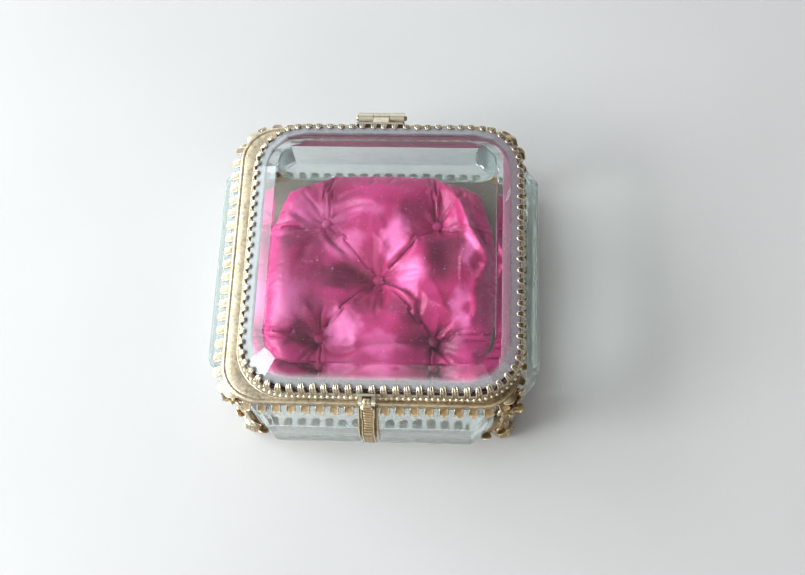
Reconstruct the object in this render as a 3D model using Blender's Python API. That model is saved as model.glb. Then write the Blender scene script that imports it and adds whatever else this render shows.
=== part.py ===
"""Bevelled-glass trinket casket with a hinged glass lid and a hasp.

Frame: metres, +Z up, the front (hasp side) faces -Y.  The origin is the
centre of the bounding box on the plane the feet stand on.
"""
import math

import bmesh
import bpy
from mathutils import Matrix, Vector

MM = 0.001

# ---------------------------------------------------------------- dimensions
# All in millimetres, converted when a mesh is written.
# HX and HY are half sizes, R a corner radius, T a thickness.
CLEAR = 0.3                 # gap between neighbouring pieces
BEVEL_GAP = 0.35            # gap between a glass bevel and the metal laid over it
PLATE_T = 0.6               # hinge plates, hasp bracket and keeper floor

# lid
LID_HX, LID_HY, LID_R = 36.0, 37.3  , 13.0
LID_DX = 2.7                        # lid frame sits right of its hinge and hasp
BAND_T = 0.5
BAND_Z0, BAND_Z1 = 38.7, 43.7       # lid band foot and top
BEAD_OUT, BEAD_TOP = 0.4, 39.8      # bead moulding at the foot of the band
FITTING_Z0 = BEAD_TOP + 0.4         # foot of the plates standing on the band
LID_PRONGS = 92
LID_PRONG_W, LID_PRONG_TIP_W = 1.35, 1.0
LID_PRONG_IN = 2.4                  # reach of a prong in over the glass
LID_PRONG_Z = (45.2, 44.8)          # upper and lower edge of a prong tip

LIDGLASS_INSET = BAND_T + CLEAR
LIDGLASS_HX, LIDGLASS_HY = LID_HX - LIDGLASS_INSET, LID_HY - LIDGLASS_INSET
LIDGLASS_R = LID_R - LIDGLASS_INSET
LIDGLASS_BEVEL = 5.9                # bevel width seen from above
LIDGLASS_FLAT_R = 7.5
LIDGLASS_Z = (41.0, 43.6, 46.5)     # underside, edge, flat top
SEAT_T, SEAT_W = 0.5, 3.4
SEAT_Z1 = LIDGLASS_Z[0] - CLEAR

# bevelled side glasses
PANEL_HALF_X, PANEL_HALF_Y = 32.0, 32.4   # half length: front and back, sides
PANEL_Z0, PANEL_Z1 = 8.3, 37.3
PANEL_R, PANEL_FLAT_R = 5.5, 2.2          # corners of the edge and of the flat
PANEL_EDGE, PANEL_RISE = 2.0, 5.4         # edge thickness, bevel rise
PANEL_BEVEL = 5.5                         # bevel width seen square on
PANEL_SET_X, PANEL_SET_Y = 0.1, 0.7       # glass edge set back from the rim

# body frame
RIM_HX, RIM_HY, RIM_R = 38.1, 38.9, 10.0
FRAME_T = 0.7
RIM_Z0, RIM_W = PANEL_Z1 + CLEAR, 6.4
BASE_Z0, BASE_W = 7.2, 8.4
BASE_Z1 = BASE_Z0 + FRAME_T
BODY_TABS = 88
TAB_W, TAB_TIP_W = 1.8, 2.2
TAB_T, TAB_LEN = 0.5, 3.3

# places on the rim that carry no tabs
CORNER_FREE = 4.8           # inwards from a corner post axis
KEEPER_FREE = 3.4           # each side of the hasp keeper's middle
HINGE_FREE = 1.2            # past each end of the hinge

# corners and feet
CORNER_X, CORNER_Y = 35.1, 35.8
POST_Z0, POST_Z1 = BASE_Z1 + CLEAR, RIM_Z0 - CLEAR
FOOT_TOP = BASE_Z0 - CLEAR

# floor of the box
FLOOR_HALF, FLOOR_T, FLOOR_CHAMFER = 35.2, 2.0, 0.6
FLOOR_Z0 = BASE_Z1 + CLEAR
BOARD_HALF, BOARD_T = 34.6, 1.0
BOARD_Z0 = FLOOR_Z0 + FLOOR_T + CLEAR
SLAB_R = 5.0                # corner radius of the floor glass and the board

# cushion
CUSH_HX, CUSH_HY = 32.8, 33.4
CUSH_Z0 = BOARD_Z0 + BOARD_T + CLEAR
CUSH_SEAM, CUSH_CROWN = 16.5, 9.6
CUSH_CELLS = 18             # grid cells along each side
CUSH_BOW = 0.14             # how strongly the sides draw in towards the corners
CUSH_POWER, CUSH_FULLNESS = 3, 0.55   # exponents of the crown curve
CUSH_LOWER = ((0.985, 13.6), (0.93, CUSH_Z0))   # loops below the seam: scale, z
TUFT_DX, TUFT_DY = 15.5, 17.0
TUFT_DEPTH, TUFT_SPREAD = 4.2, 4.6
BUTTON_LIFT = 0.75          # button underside above the cushion surface

# lid hinge
HINGE_Y, HINGE_Z = 41.8, 39.0       # pin axis
HINGE_HALF, HINGE_MID = 6.3, 2.1    # half lengths: whole hinge, middle knuckle
KNUCKLE_GAP = 0.15
KNUCKLE_R, PIN_R, BORE_R = 1.5, 0.6, 0.67
BODY_LEAF_RUN = (1.0, 4.2)          # start and end of the body leaf down the bevel

# hasp and its keeper; D is a distance from the middle towards the front
HASP_PIVOT_D, HASP_PIVOT_Z = 39.4, 42.2
HASP_KNUCKLE_R, HASP_PIN_R, HASP_BORE_R = 1.0, 0.4, 0.47
HASP_EAR = (1.15, 2.1)              # inner and outer face of a bracket ear
HASP_KNUCKLE_HALF = 0.95
HASP_PIN_OVER = 0.25                # pin end past the ear
STRAP_HALF_UP, STRAP_HALF_LOW = 1.85, 1.65
STRAP_STEP_Z = 36.2                 # the strap is wider above this height
STRAP_TOP_D, STRAP_TOP_Z = HASP_PIVOT_D + 0.4, HASP_PIVOT_Z - 1.35
STRAP_BEND = (0.12, 0.25)           # upper bend moved out and up
STRAP_GAP = 1.25                    # strap underside above the glass
STRAP_T, RIB_H, RIB_PITCH = 1.15, 0.25, 1.0
STRAP_END_Z = 25.0
GROOVE_HALF, GROOVE_DEPTH, GROOVE_TOP_Z = 1.1, 0.75, 29.8
KEEPER_HALF, KEEPER_RAIL_T, KEEPER_RAIL_H = 2.6, 0.45, 1.6
KEEPER_START = (0.25437, 0.25908)   # upper end moved out and down the bevel
KEEPER_END_Z = 26.0
STUD_Z, STUD_GAP = 28.2, 0.15
STUD_PROFILE = ((0.75, 0.0), (0.75, 0.25), (0.45, 0.55))   # radius, height

# front and back glass: distance from the middle, and direction of the bevel
PANEL_EDGE_Y = RIM_HY - PANEL_SET_Y            # edge plane
PANEL_OUT_Y = PANEL_EDGE_Y + PANEL_RISE        # outer face
BEVEL_LEN = math.hypot(PANEL_RISE, PANEL_BEVEL)
BEVEL_OUT, BEVEL_IN = PANEL_RISE / BEVEL_LEN, PANEL_BEVEL / BEVEL_LEN

REACH_FRONT = PANEL_OUT_Y + STRAP_GAP + STRAP_T + RIB_H
Y_SHIFT = 0.5 * (REACH_FRONT - PANEL_OUT_Y)    # centres the bounding box

# ---------------------------------------------------------------- clean start
for old in list(bpy.data.objects):
    bpy.data.objects.remove(old, do_unlink=True)

ROOT = bpy.data.objects.new("casket_frame", None)
bpy.context.scene.collection.objects.link(ROOT)
ROOT.location = (0.0, Y_SHIFT * MM, 0.0)


# ---------------------------------------------------------------- materials
def material(name, color, roughness, metallic=0.0, alpha=1.0, transmission=0.0):
    mat = bpy.data.materials.new(name)
    mat.use_nodes = True
    inputs = mat.node_tree.nodes.get("Principled BSDF").inputs
    inputs["Base Color"].default_value = (*color, 1.0)
    inputs["Roughness"].default_value = roughness
    inputs["Metallic"].default_value = metallic
    inputs["Alpha"].default_value = alpha
    inputs["Transmission Weight"].default_value = transmission
    mat.diffuse_color = (*color, alpha)
    return mat


def gilt(name, roughness):
    return material(name, color=(0.50, 0.40, 0.24), roughness=roughness, metallic=1.0)


def dark_gilt(name, roughness):
    return material(name, color=(0.36, 0.27, 0.15), roughness=roughness, metallic=1.0)


def glass(name, roughness):
    return material(name, color=(0.78, 0.86, 0.84), roughness=roughness,
                    alpha=0.4, transmission=0.9)


def satin(name):
    return material(name, color=(0.52, 0.06, 0.24), roughness=0.45)


def board(name):
    return material(name, color=(0.62, 0.55, 0.44), roughness=0.85)


# ---------------------------------------------------------------- objects
def finish(name, bm, mat, smooth=False, sharp_angle=35.0):
    """Write a bmesh (millimetres) to an object in metres."""
    bmesh.ops.remove_doubles(bm, verts=bm.verts[:], dist=1e-5)
    bmesh.ops.recalc_face_normals(bm, faces=bm.faces[:])
    bmesh.ops.scale(bm, vec=(MM, MM, MM), verts=bm.verts[:])
    mesh = bpy.data.meshes.new(name)
    bm.to_mesh(mesh)
    bm.free()
    mesh.materials.append(mat)
    obj = bpy.data.objects.new(name, mesh)
    bpy.context.scene.collection.objects.link(obj)
    obj.parent = ROOT
    if smooth:
        mesh.shade_smooth()
        mesh.set_sharp_from_angle(angle=math.radians(sharp_angle))
    return obj


def make(name, mat, shape, *sizes, **shading):
    """Object holding one shape; shape is a function that fills a bmesh."""
    bm = bmesh.new()
    shape(bm, *sizes)
    return finish(name, bm, mat, **shading)


def place(obj, x, y, z):
    """Move an object's origin to a point without moving its surface."""
    offset = Vector((x, y, z)) * MM
    obj.data.transform(Matrix.Translation(-offset))
    obj.location = offset


def combine(target, operation, mat, shape, *sizes):
    """Join a shape to the target, or cut it away, with an exact Boolean."""
    tool = make("tool", mat, shape, *sizes)
    mod = target.modifiers.new(operation.lower(), 'BOOLEAN')
    mod.solver = 'EXACT'
    mod.operation = operation
    mod.object = tool
    bpy.context.view_layer.update()
    graph = bpy.context.evaluated_depsgraph_get()
    result = bpy.data.meshes.new_from_object(target.evaluated_get(graph))
    target.modifiers.clear()
    before = target.data
    target.data = result
    bpy.data.meshes.remove(before)
    bpy.data.objects.remove(tool, do_unlink=True)
    # merge the doubles and flat splits the Boolean leaves
    bm = bmesh.new()
    bm.from_mesh(result)
    bmesh.ops.remove_doubles(bm, verts=bm.verts[:], dist=1e-7)
    bmesh.ops.dissolve_limit(bm, angle_limit=math.radians(0.5),
                             verts=bm.verts[:], edges=bm.edges[:])
    bm.to_mesh(result)
    bm.free()


# ---------------------------------------------------------------- outlines
class Outline:
    """Rounded rectangle walked counter-clockwise from the middle of the front."""

    def __init__(self, hx, hy, radius, cx=0.0):
        self.radius, self.shift = radius, Vector((cx, 0.0))
        arc = 0.5 * math.pi * radius
        sx, sy = hx - radius, hy - radius
        # line: start, direction, length; arc: centre, start angle, length
        self.parts = [("line", (0, -hy), (1, 0), sx),
                      ("arc", (sx, -sy), -90.0, arc),
                      ("line", (hx, -sy), (0, 1), 2 * sy),
                      ("arc", (sx, sy), 0.0, arc),
                      ("line", (sx, hy), (-1, 0), 2 * sx),
                      ("arc", (-sx, sy), 90.0, arc),
                      ("line", (-hx, sy), (0, -1), 2 * sy),
                      ("arc", (-sx, -sy), 180.0, arc),
                      ("line", (-sx, -hy), (1, 0), sx)]
        self.length = sum(part[3] for part in self.parts)

    def at(self, distance):
        """Point and outward normal at a distance along the outline."""
        distance %= self.length
        for kind, base, heading, size in self.parts:
            if distance <= size + 1e-9:
                break
            distance -= size
        if kind == "line":
            point = Vector((base[0] + heading[0] * distance,
                            base[1] + heading[1] * distance))
            return point + self.shift, Vector((heading[1], -heading[0]))
        angle = math.radians(heading + 90.0 * distance / size)
        normal = Vector((math.cos(angle), math.sin(angle)))
        return Vector(base) + normal * self.radius + self.shift, normal

    def stations(self, per_corner):
        """Distances at the ends of each straight and along each corner."""
        found, start = [], 0.0
        for kind, _, _, size in self.parts:
            count = per_corner if kind == "arc" else 1
            found += [start + size * k / count for k in range(count)]
            start += size
        return found


def rounded(hx, hy, radius, per_corner, cx=0.0):
    """Rounded rectangle as a plain list of points."""
    outline = Outline(hx, hy, radius, cx)
    points = [outline.at(s)[0] for s in outline.stations(per_corner)]
    return [(p.x, p.y) for p in points]


def level(points, z):
    return [(x, y, z) for x, y in points]


# ---------------------------------------------------------------- shapes
def sweep(bm, outline, stations, profile):
    """Closed ring: profile points are (outward offset, z).  Returns the faces."""
    rows = []
    for s in stations:
        point, normal = outline.at(s)
        rows.append([bm.verts.new((point.x + normal.x * offset,
                                   point.y + normal.y * offset, z))
                     for offset, z in profile])
    faces = []
    count = len(profile)
    for i, row in enumerate(rows):
        after = rows[(i + 1) % len(rows)]
        faces.append([bm.faces.new((row[j], after[j], after[(j + 1) % count],
                                    row[(j + 1) % count])) for j in range(count)])
    return faces


def pitch_stations(outline, count, width):
    """Middles of evenly pitched prongs, half a pitch off the front centre,
    and the two stations bounding each."""
    pitch = outline.length / count
    middles = [(k + 0.5) * pitch for k in range(count)]
    stations = []
    for middle in middles:
        stations += [middle - 0.5 * width, middle + 0.5 * width]
    return middles, stations


def draw_out(bm, face, outline, middle, tip_width, tips):
    """Extrude one face of a sweep to a tip, keeping the solid closed.

    tips holds (outward offset, z) for the face's two profile points.
    """
    start, end = middle - 0.5 * tip_width, middle + 0.5 * tip_width
    tip_verts = []
    # same order as the corners of a swept face
    for s, (offset, z) in zip((start, end, end, start),
                              (tips[0], tips[0], tips[1], tips[1])):
        point, normal = outline.at(s)
        tip_verts.append(bm.verts.new((point.x + normal.x * offset,
                                       point.y + normal.y * offset, z)))
    verts = list(face.verts)
    bm.faces.remove(face)
    for k in range(4):
        after = (k + 1) % 4
        bm.faces.new((verts[k], verts[after], tip_verts[after], tip_verts[k]))
    bm.faces.new(tip_verts)


def loft(bm, loops):
    """Join equal loops of points and close both ends with one face each."""
    rows = [[bm.verts.new(point) for point in loop] for loop in loops]
    count = len(rows[0])
    for a, b in zip(rows, rows[1:]):
        for k in range(count):
            after = (k + 1) % count
            bm.faces.new((a[k], a[after], b[after], b[k]))
    bm.faces.new(rows[0])
    bm.faces.new(rows[-1])


def box(bm, x0, x1, y0, y1, z0, z1):
    loft(bm, [level([(x0, y0), (x1, y0), (x1, y1), (x0, y1)], z) for z in (z0, z1)])


def circle(radius, segments):
    """Points of a circle about the origin."""
    angles = [2 * math.pi * k / segments for k in range(segments)]
    return [(radius * math.cos(a), radius * math.sin(a)) for a in angles]


def lathe_z(bm, profile, segments, cx, cy):
    """Turned solid on an upright axis; profile points are (radius, z)."""
    loft(bm, [[(cx + u, cy + v, z) for u, v in circle(radius, segments)]
              for radius, z in profile])


def lathe_x(bm, profile, y, z):
    """Turned solid on an axis along X; profile points are (x, radius)."""
    loft(bm, [[(x, y + u, z + v) for u, v in circle(radius, 16)]
              for x, radius in profile])


def rod_x(bm, x0, x1, y, z, radius):
    lathe_x(bm, ((x0, radius), (x1, radius)), y, z)


def prism_x(bm, x0, x1, points):
    """Polygon in the YZ plane extruded along X."""
    loft(bm, [[(x, y, z) for y, z in points] for x in (x0, x1)])


# ---------------------------------------------------------------- lid
def build_lid_glass():
    z_under, z_edge, z_top = LIDGLASS_Z
    edge = rounded(LIDGLASS_HX, LIDGLASS_HY, LIDGLASS_R, 8, LID_DX)
    flat = rounded(LIDGLASS_HX - LIDGLASS_BEVEL, LIDGLASS_HY - LIDGLASS_BEVEL,
                   LIDGLASS_FLAT_R, 8, LID_DX)
    make("lid_glass", glass("lid_glass", roughness=0.02), loft,
         [level(edge, z_under), level(edge, z_edge), level(flat, z_top)])


def build_lid_band():
    """Upright band whose top edge carries prongs bent in over the glass."""
    bm = bmesh.new()
    outline = Outline(LID_HX, LID_HY, LID_R, LID_DX)
    middles, stations = pitch_stations(outline, LID_PRONGS, LID_PRONG_W)
    faces = sweep(bm, outline, stations,
                  [(-BAND_T, BAND_Z0), (BEAD_OUT, BAND_Z0), (0.0, BEAD_TOP),
                   (0.0, BAND_Z1), (-BAND_T, BAND_Z1)])
    tips = [(-LID_PRONG_IN, z) for z in LID_PRONG_Z]
    for k, middle in enumerate(middles):
        top_face = faces[2 * k][3]
        draw_out(bm, top_face, outline, middle, LID_PRONG_TIP_W, tips)
    finish("lid_band", bm, gilt("lid_band", roughness=0.34))


def build_lid_seat():
    outline = Outline(LIDGLASS_HX, LIDGLASS_HY, LIDGLASS_R, LID_DX)
    z0 = SEAT_Z1 - SEAT_T
    make("lid_glass_seat", dark_gilt("lid_glass_seat", roughness=0.45),
         sweep, outline, outline.stations(7),
         [(0.0, z0), (0.0, SEAT_Z1), (-SEAT_W, SEAT_Z1), (-SEAT_W, z0)])


# ---------------------------------------------------------------- body frame
def tab_fits(point, up):
    """False where a corner post, the hasp keeper or the hinge leaf stands."""
    if abs(point.x) > CORNER_X - CORNER_FREE and abs(point.y) > CORNER_Y - CORNER_FREE:
        return False
    if up:
        return True
    half_free = KEEPER_FREE if point.y < 0 else HINGE_HALF + HINGE_FREE
    return abs(point.x) >= half_free


def build_tabbed_frame(name, z0, width, up, mat):
    """Flat ring whose outer edge carries tabs folded over the glass bevels."""
    bm = bmesh.new()
    z1 = z0 + FRAME_T
    outline = Outline(RIM_HX, RIM_HY, RIM_R)
    middles, stations = pitch_stations(outline, BODY_TABS, TAB_W)
    faces = sweep(bm, outline, stations,
                  [(-width, z0), (0.0, z0), (0.0, z1), (-width, z1)])
    # (outwards, towards mid height) from the edge of the glass
    along = Vector((BEVEL_OUT, BEVEL_IN))
    away = Vector((along.y, -along.x))
    inner = along * TAB_LEN + away * BEVEL_GAP      # tip edge next to the glass
    outer = inner + away * TAB_T
    edge_z, sign = (PANEL_Z0, 1.0) if up else (PANEL_Z1, -1.0)
    for k, middle in enumerate(middles):
        point, normal = outline.at(middle)
        if not tab_fits(point, up):
            continue
        setback = PANEL_SET_Y if abs(normal.y) > abs(normal.x) else PANEL_SET_X
        # the outer tip edge continues the ring face away from the glass
        tips = [(out - setback, edge_z + sign * rise)
                for out, rise in ((outer, inner) if up else (inner, outer))]
        draw_out(bm, faces[2 * k][1], outline, middle, TAB_TIP_W, tips)
    finish(name, bm, mat)


def build_panel(name, side_x, side_y):
    """Bevelled glass plate; (side_x, side_y) is the direction it faces."""
    half = PANEL_HALF_X if side_y else PANEL_HALF_Y
    plane = PANEL_EDGE_Y if side_y else RIM_HX - PANEL_SET_X
    z_mid, half_z = 0.5 * (PANEL_Z0 + PANEL_Z1), 0.5 * (PANEL_Z1 - PANEL_Z0)
    edge = rounded(half, half_z, PANEL_R, 4)
    flat = rounded(half - PANEL_BEVEL, half_z - PANEL_BEVEL, PANEL_FLAT_R, 4)
    loops = [[(side_x * reach - side_y * u, side_y * reach + side_x * u, z_mid + v)
              for u, v in points]
             for points, reach in ((edge, plane - PANEL_EDGE), (edge, plane),
                                   (flat, plane + PANEL_RISE))]
    make(name, glass(name, roughness=0.03), loft, loops)


# height, half width across the corner, half depth
POST_SECTIONS = (
    (POST_Z0, 2.3, 1.3), (9.2, 3.0, 1.6), (11.4, 2.6, 1.4),
    (13.2, 2.1, 1.1), (20.6, 2.1, 1.1), (22.8, 2.6, 1.4),
    (25.0, 2.1, 1.1), (31.4, 2.1, 1.1), (33.6, 2.7, 1.4),
    (35.8, 3.8, 1.9), (POST_Z1, 3.2, 1.6),
)
POST_ROUNDING = 0.75        # section corner radius as a share of the half depth

# radius, height
FOOT_PROFILE = (
    (1.7, 0.0), (2.6, 0.7), (3.0, 1.9), (2.7, 3.1), (1.9, 3.9),
    (2.3, 4.7), (2.4, 5.5), (1.9, 6.3), (2.2, FOOT_TOP),
)


def build_post(name, sx, sy):
    """Cast pilaster standing across the corner, with a spreading capital."""
    tangent = Vector((1.0, -sx * sy)).normalized()
    radial = Vector((sx, sy)).normalized()
    centre = Vector((sx * CORNER_X, sy * CORNER_Y))
    loops = []
    for z, half_width, half_depth in POST_SECTIONS:
        points = rounded(half_width, half_depth, POST_ROUNDING * half_depth, 2)
        loops.append(level([centre + tangent * u + radial * v for u, v in points], z))
    post = make(name, gilt(name, roughness=0.4), loft, loops, smooth=True)
    place(post, sx * CORNER_X, sy * CORNER_Y, POST_Z0)


def build_foot(name, sx, sy):
    x, y = sx * CORNER_X, sy * CORNER_Y
    foot = make(name, gilt(name, roughness=0.35), lathe_z, FOOT_PROFILE, 14, x, y,
                smooth=True)
    place(foot, x, y, 0.0)


# ---------------------------------------------------------------- floor, cushion
def build_slab(name, half, sections, mat):
    """Square slab with rounded corners; sections are (inset, z)."""
    make(name, mat, loft, [level(rounded(half - inset, half - inset, SLAB_R, 3), z)
                           for inset, z in sections])


def build_floor_glass():
    """Slab chamfered along its lower edge."""
    build_slab("floor_glass", FLOOR_HALF,
               ((FLOOR_CHAMFER, FLOOR_Z0), (0.0, FLOOR_Z0 + FLOOR_CHAMFER),
                (0.0, FLOOR_Z0 + FLOOR_T)),
               glass("floor_glass", roughness=0.05))


def build_cushion_board():
    build_slab("cushion_board", BOARD_HALF,
               ((0.0, BOARD_Z0), (0.0, BOARD_Z0 + BOARD_T)), board("cushion_board"))


TUFTS = (("centre", 0.0, 0.0),
         ("front_left", -TUFT_DX, -TUFT_DY), ("front_right", TUFT_DX, -TUFT_DY),
         ("back_left", -TUFT_DX, TUFT_DY), ("back_right", TUFT_DX, TUFT_DY))

# radius, height above the button's underside
BUTTON_PROFILE = ((1.2, 0.0), (1.7, 0.35), (1.3, 0.95), (0.6, 1.3))


def cushion_top(x, y):
    """Height of the crown, with a dimple at each tuft."""
    z = CUSH_CROWN
    for share in (abs(x) / CUSH_HX, abs(y) / CUSH_HY):
        z *= (1 - share ** CUSH_POWER) ** CUSH_FULLNESS
    z += CUSH_SEAM
    for _, tuft_x, tuft_y in TUFTS:
        square = (x - tuft_x) ** 2 + (y - tuft_y) ** 2
        z -= TUFT_DEPTH * math.exp(-square / (2 * TUFT_SPREAD ** 2))
    return z


def build_cushion():
    """Padded square: a grid crown, pulled down at five tufts, on a flat base."""
    bm = bmesh.new()
    n = CUSH_CELLS
    grid = []
    for j in range(n + 1):
        row = []
        for i in range(n + 1):
            u, v = 2 * i / n - 1, 2 * j / n - 1
            x = CUSH_HX * u * math.sqrt(1 - CUSH_BOW * v * v)
            y = CUSH_HY * v * math.sqrt(1 - CUSH_BOW * u * u)
            on_seam = i in (0, n) or j in (0, n)
            row.append(bm.verts.new((x, y, CUSH_SEAM if on_seam else cushion_top(x, y))))
        grid.append(row)
    for j in range(n):
        for i in range(n):
            bm.faces.new((grid[j][i], grid[j][i + 1], grid[j + 1][i + 1], grid[j + 1][i]))
    seam = ([grid[0][i] for i in range(n)] + [grid[j][n] for j in range(n)]
            + [grid[n][n - i] for i in range(n)] + [grid[n - j][0] for j in range(n)])
    above = seam
    for scale, z in CUSH_LOWER:
        loop = [bm.verts.new((v.co.x * scale, v.co.y * scale, z)) for v in seam]
        for k in range(len(seam)):
            after = (k + 1) % len(seam)
            bm.faces.new((above[k], above[after], loop[after], loop[k]))
        above = loop
    bm.faces.new(above)
    finish("cushion", bm, satin("cushion"), smooth=True, sharp_angle=60.0)


def build_button(name, x, y):
    z = cushion_top(x, y) + BUTTON_LIFT
    profile = [(radius, z + height) for radius, height in BUTTON_PROFILE]
    button = make(name, satin(name), lathe_z, profile, 12, x, y,
                  smooth=True, sharp_angle=60.0)
    place(button, x, y, z)


# ---------------------------------------------------------------- hinge
LID_LEAF_Y = LID_HY + CLEAR         # inner face of the lid leaf

# webs joining the knuckles to their plates: (y, z)
BODY_WEB = ((HINGE_Y - 1.2, HINGE_Z - 0.6), (HINGE_Y - 1.6, HINGE_Z - 3.0),
            (HINGE_Y - 0.6, HINGE_Z - 4.0), (HINGE_Y + 0.9, HINGE_Z - 1.0))
LID_WEB = ((LID_LEAF_Y + 0.2, FITTING_Z0), (HINGE_Y - 0.4, HINGE_Z + 0.3),
           (HINGE_Y + 0.2, HINGE_Z + 1.1), (LID_LEAF_Y + 0.4, BEAD_TOP + 1.9))

# headed end of the hinge pin, from the tip inwards: distance past the hinge, radius
PIN_END = ((0.7, 0.5), (0.3, 0.8), (0.15, 0.8), (0.1, PIN_R))


def build_body_leaf():
    """Plate sloping down the back bevel, with the two outer knuckles."""
    name = "body_hinge_leaf"
    mat = gilt(name, roughness=0.4)
    along = Vector((BEVEL_OUT, -BEVEL_IN))
    away = Vector((-along.y, along.x))
    edge = Vector((PANEL_EDGE_Y, PANEL_Z1))
    upper, lower = [edge + along * run + away * BEVEL_GAP for run in BODY_LEAF_RUN]
    plate = [upper, lower, lower + away * PLATE_T, upper + away * PLATE_T]
    leaf = make(name, mat, prism_x, -HINGE_HALF, HINGE_HALF, plate)
    inner = HINGE_MID + KNUCKLE_GAP
    for x0, x1 in ((-HINGE_HALF, -inner), (inner, HINGE_HALF)):
        combine(leaf, 'UNION', mat, rod_x, x0, x1, HINGE_Y, HINGE_Z, KNUCKLE_R)
        combine(leaf, 'UNION', mat, prism_x, x0, x1, BODY_WEB)
    combine(leaf, 'DIFFERENCE', mat, rod_x, -HINGE_HALF - 1, HINGE_HALF + 1,
            HINGE_Y, HINGE_Z, BORE_R)


def build_lid_leaf():
    """Upright plate on the back of the lid, with the middle knuckle."""
    name = "lid_hinge_leaf"
    mat = gilt(name, roughness=0.4)
    leaf = make(name, mat, box, -HINGE_HALF, HINGE_HALF,
                LID_LEAF_Y, LID_LEAF_Y + PLATE_T, FITTING_Z0, BAND_Z1 - 0.3)
    combine(leaf, 'UNION', mat, prism_x, -HINGE_MID, HINGE_MID, LID_WEB)
    combine(leaf, 'UNION', mat, rod_x, -HINGE_MID, HINGE_MID,
            HINGE_Y, HINGE_Z, KNUCKLE_R)
    combine(leaf, 'DIFFERENCE', mat, rod_x, -HINGE_MID - 1, HINGE_MID + 1,
            HINGE_Y, HINGE_Z, BORE_R)


def build_hinge_pin():
    left = [(-HINGE_HALF - past, radius) for past, radius in PIN_END]
    right = [(HINGE_HALF + past, radius) for past, radius in reversed(PIN_END)]
    pin = make("hinge_pin", dark_gilt("hinge_pin", roughness=0.3),
               lathe_x, left + right, HINGE_Y, HINGE_Z, smooth=True)
    place(pin, 0.0, HINGE_Y, HINGE_Z)


# ---------------------------------------------------------------- hasp
def front_path(height, z_end):
    """Side view of a layer at a height off the front glass.

    Returns (distance to the front, z) at the top of the bevel, at its foot
    and at the lower end.
    """
    d0, z0 = PANEL_EDGE_Y + BEVEL_IN * height, PANEL_Z1 + BEVEL_OUT * height
    d1 = PANEL_OUT_Y + height
    run = (d1 - d0) / BEVEL_OUT
    return [(d0, z0), (d1, z0 - BEVEL_IN * run), (d1, z_end)]


def build_keeper():
    """Channel on the front of the body that the hasp closes into."""
    half, rail = KEEPER_HALF, KEEPER_HALF - KEEPER_RAIL_T
    under, floor, top = BEVEL_GAP, BEVEL_GAP + PLATE_T, BEVEL_GAP + KEEPER_RAIL_H
    # x, height off the glass
    section = [(-half, under), (half, under), (half, top), (rail, top),
               (rail, floor), (-rail, floor), (-rail, top), (-half, top)]
    loops = [[], [], []]
    for x, height in section:
        start, bend, end = front_path(height, KEEPER_END_Z)
        start = (start[0] + KEEPER_START[0], start[1] - KEEPER_START[1])
        for loop, (d, z) in zip(loops, (start, bend, end)):
            loop.append((x, -d, z))
    make("hasp_keeper", gilt("hasp_keeper", roughness=0.4), loft, loops)


def build_stud():
    """Round stud just in front of the keeper floor."""
    y0 = -(PANEL_OUT_Y + BEVEL_GAP + PLATE_T + STUD_GAP)
    loops = [[(u, y0 - height, STUD_Z + v) for u, v in circle(radius, 12)]
             for radius, height in STUD_PROFILE]
    stud = make("catch_stud", gilt("catch_stud", roughness=0.35), loft, loops,
                smooth=True)
    place(stud, 0.0, y0, STUD_Z)


def strap_stations(route):
    """Even steps along a route of (d, z): d, z and the normal, mitred at bends."""
    stations = []
    before = None
    for (d0, z0), (d1, z1) in zip(route, route[1:]):
        length = math.hypot(d1 - d0, z1 - z0)
        normal = (-(z1 - z0) / length, (d1 - d0) / length)
        count = max(2, round(2 * length / RIB_PITCH))
        for k in range(count):
            nd, nz = normal
            if k == 0 and before:
                md, mz = nd + before[0], nz + before[1]
                scale = 1.0 / (md * nd + mz * nz)
                nd, nz = md * scale, mz * scale
            f = k / count
            stations.append((d0 + (d1 - d0) * f, z0 + (z1 - z0) * f, nd, nz))
        before = normal
    stations.append((*route[-1], *before))
    return stations


def build_strap():
    """Ribbed strap: knuckle at the lid, sloped run, upright run, open groove behind."""
    mat = gilt("hasp", roughness=0.34)
    start, bend, end = front_path(STRAP_GAP, STRAP_END_Z)
    start = (start[0] + STRAP_BEND[0], start[1] + STRAP_BEND[1])
    route = [(STRAP_TOP_D, STRAP_TOP_Z), start, bend, end]
    loops = []
    for i, (d, z, nd, nz) in enumerate(strap_stations(route)):
        thick = STRAP_T + (RIB_H if i % 2 else 0.0)
        half = STRAP_HALF_UP if z > STRAP_STEP_Z else STRAP_HALF_LOW
        y_out, z_out = -(d + nd * thick), z + nz * thick
        loops.append([(-half, -d, z), (half, -d, z),
                      (half, y_out, z_out), (-half, y_out, z_out)])
    strap = make("hasp", mat, loft, loops)
    # knuckle, and the neck joining it to the strap
    combine(strap, 'UNION', mat, rod_x, -HASP_KNUCKLE_HALF, HASP_KNUCKLE_HALF,
            -HASP_PIVOT_D, HASP_PIVOT_Z, HASP_KNUCKLE_R)
    combine(strap, 'UNION', mat, box, -HASP_KNUCKLE_HALF, HASP_KNUCKLE_HALF,
            -(STRAP_TOP_D + 1.0), -(STRAP_TOP_D - 0.1),
            STRAP_TOP_Z - 0.6, HASP_PIVOT_Z - 0.2)
    combine(strap, 'DIFFERENCE', mat, rod_x, -3, 3,
            -HASP_PIVOT_D, HASP_PIVOT_Z, HASP_BORE_R)
    # groove, cut past the underside and the lower end
    y_under = -(PANEL_OUT_Y + STRAP_GAP)
    combine(strap, 'DIFFERENCE', mat, box, -GROOVE_HALF, GROOVE_HALF,
            y_under - GROOVE_DEPTH, y_under + 1.0, STRAP_END_Z - 1.0, GROOVE_TOP_Z)
    place(strap, 0.0, -HASP_PIVOT_D, HASP_PIVOT_Z)


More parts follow.
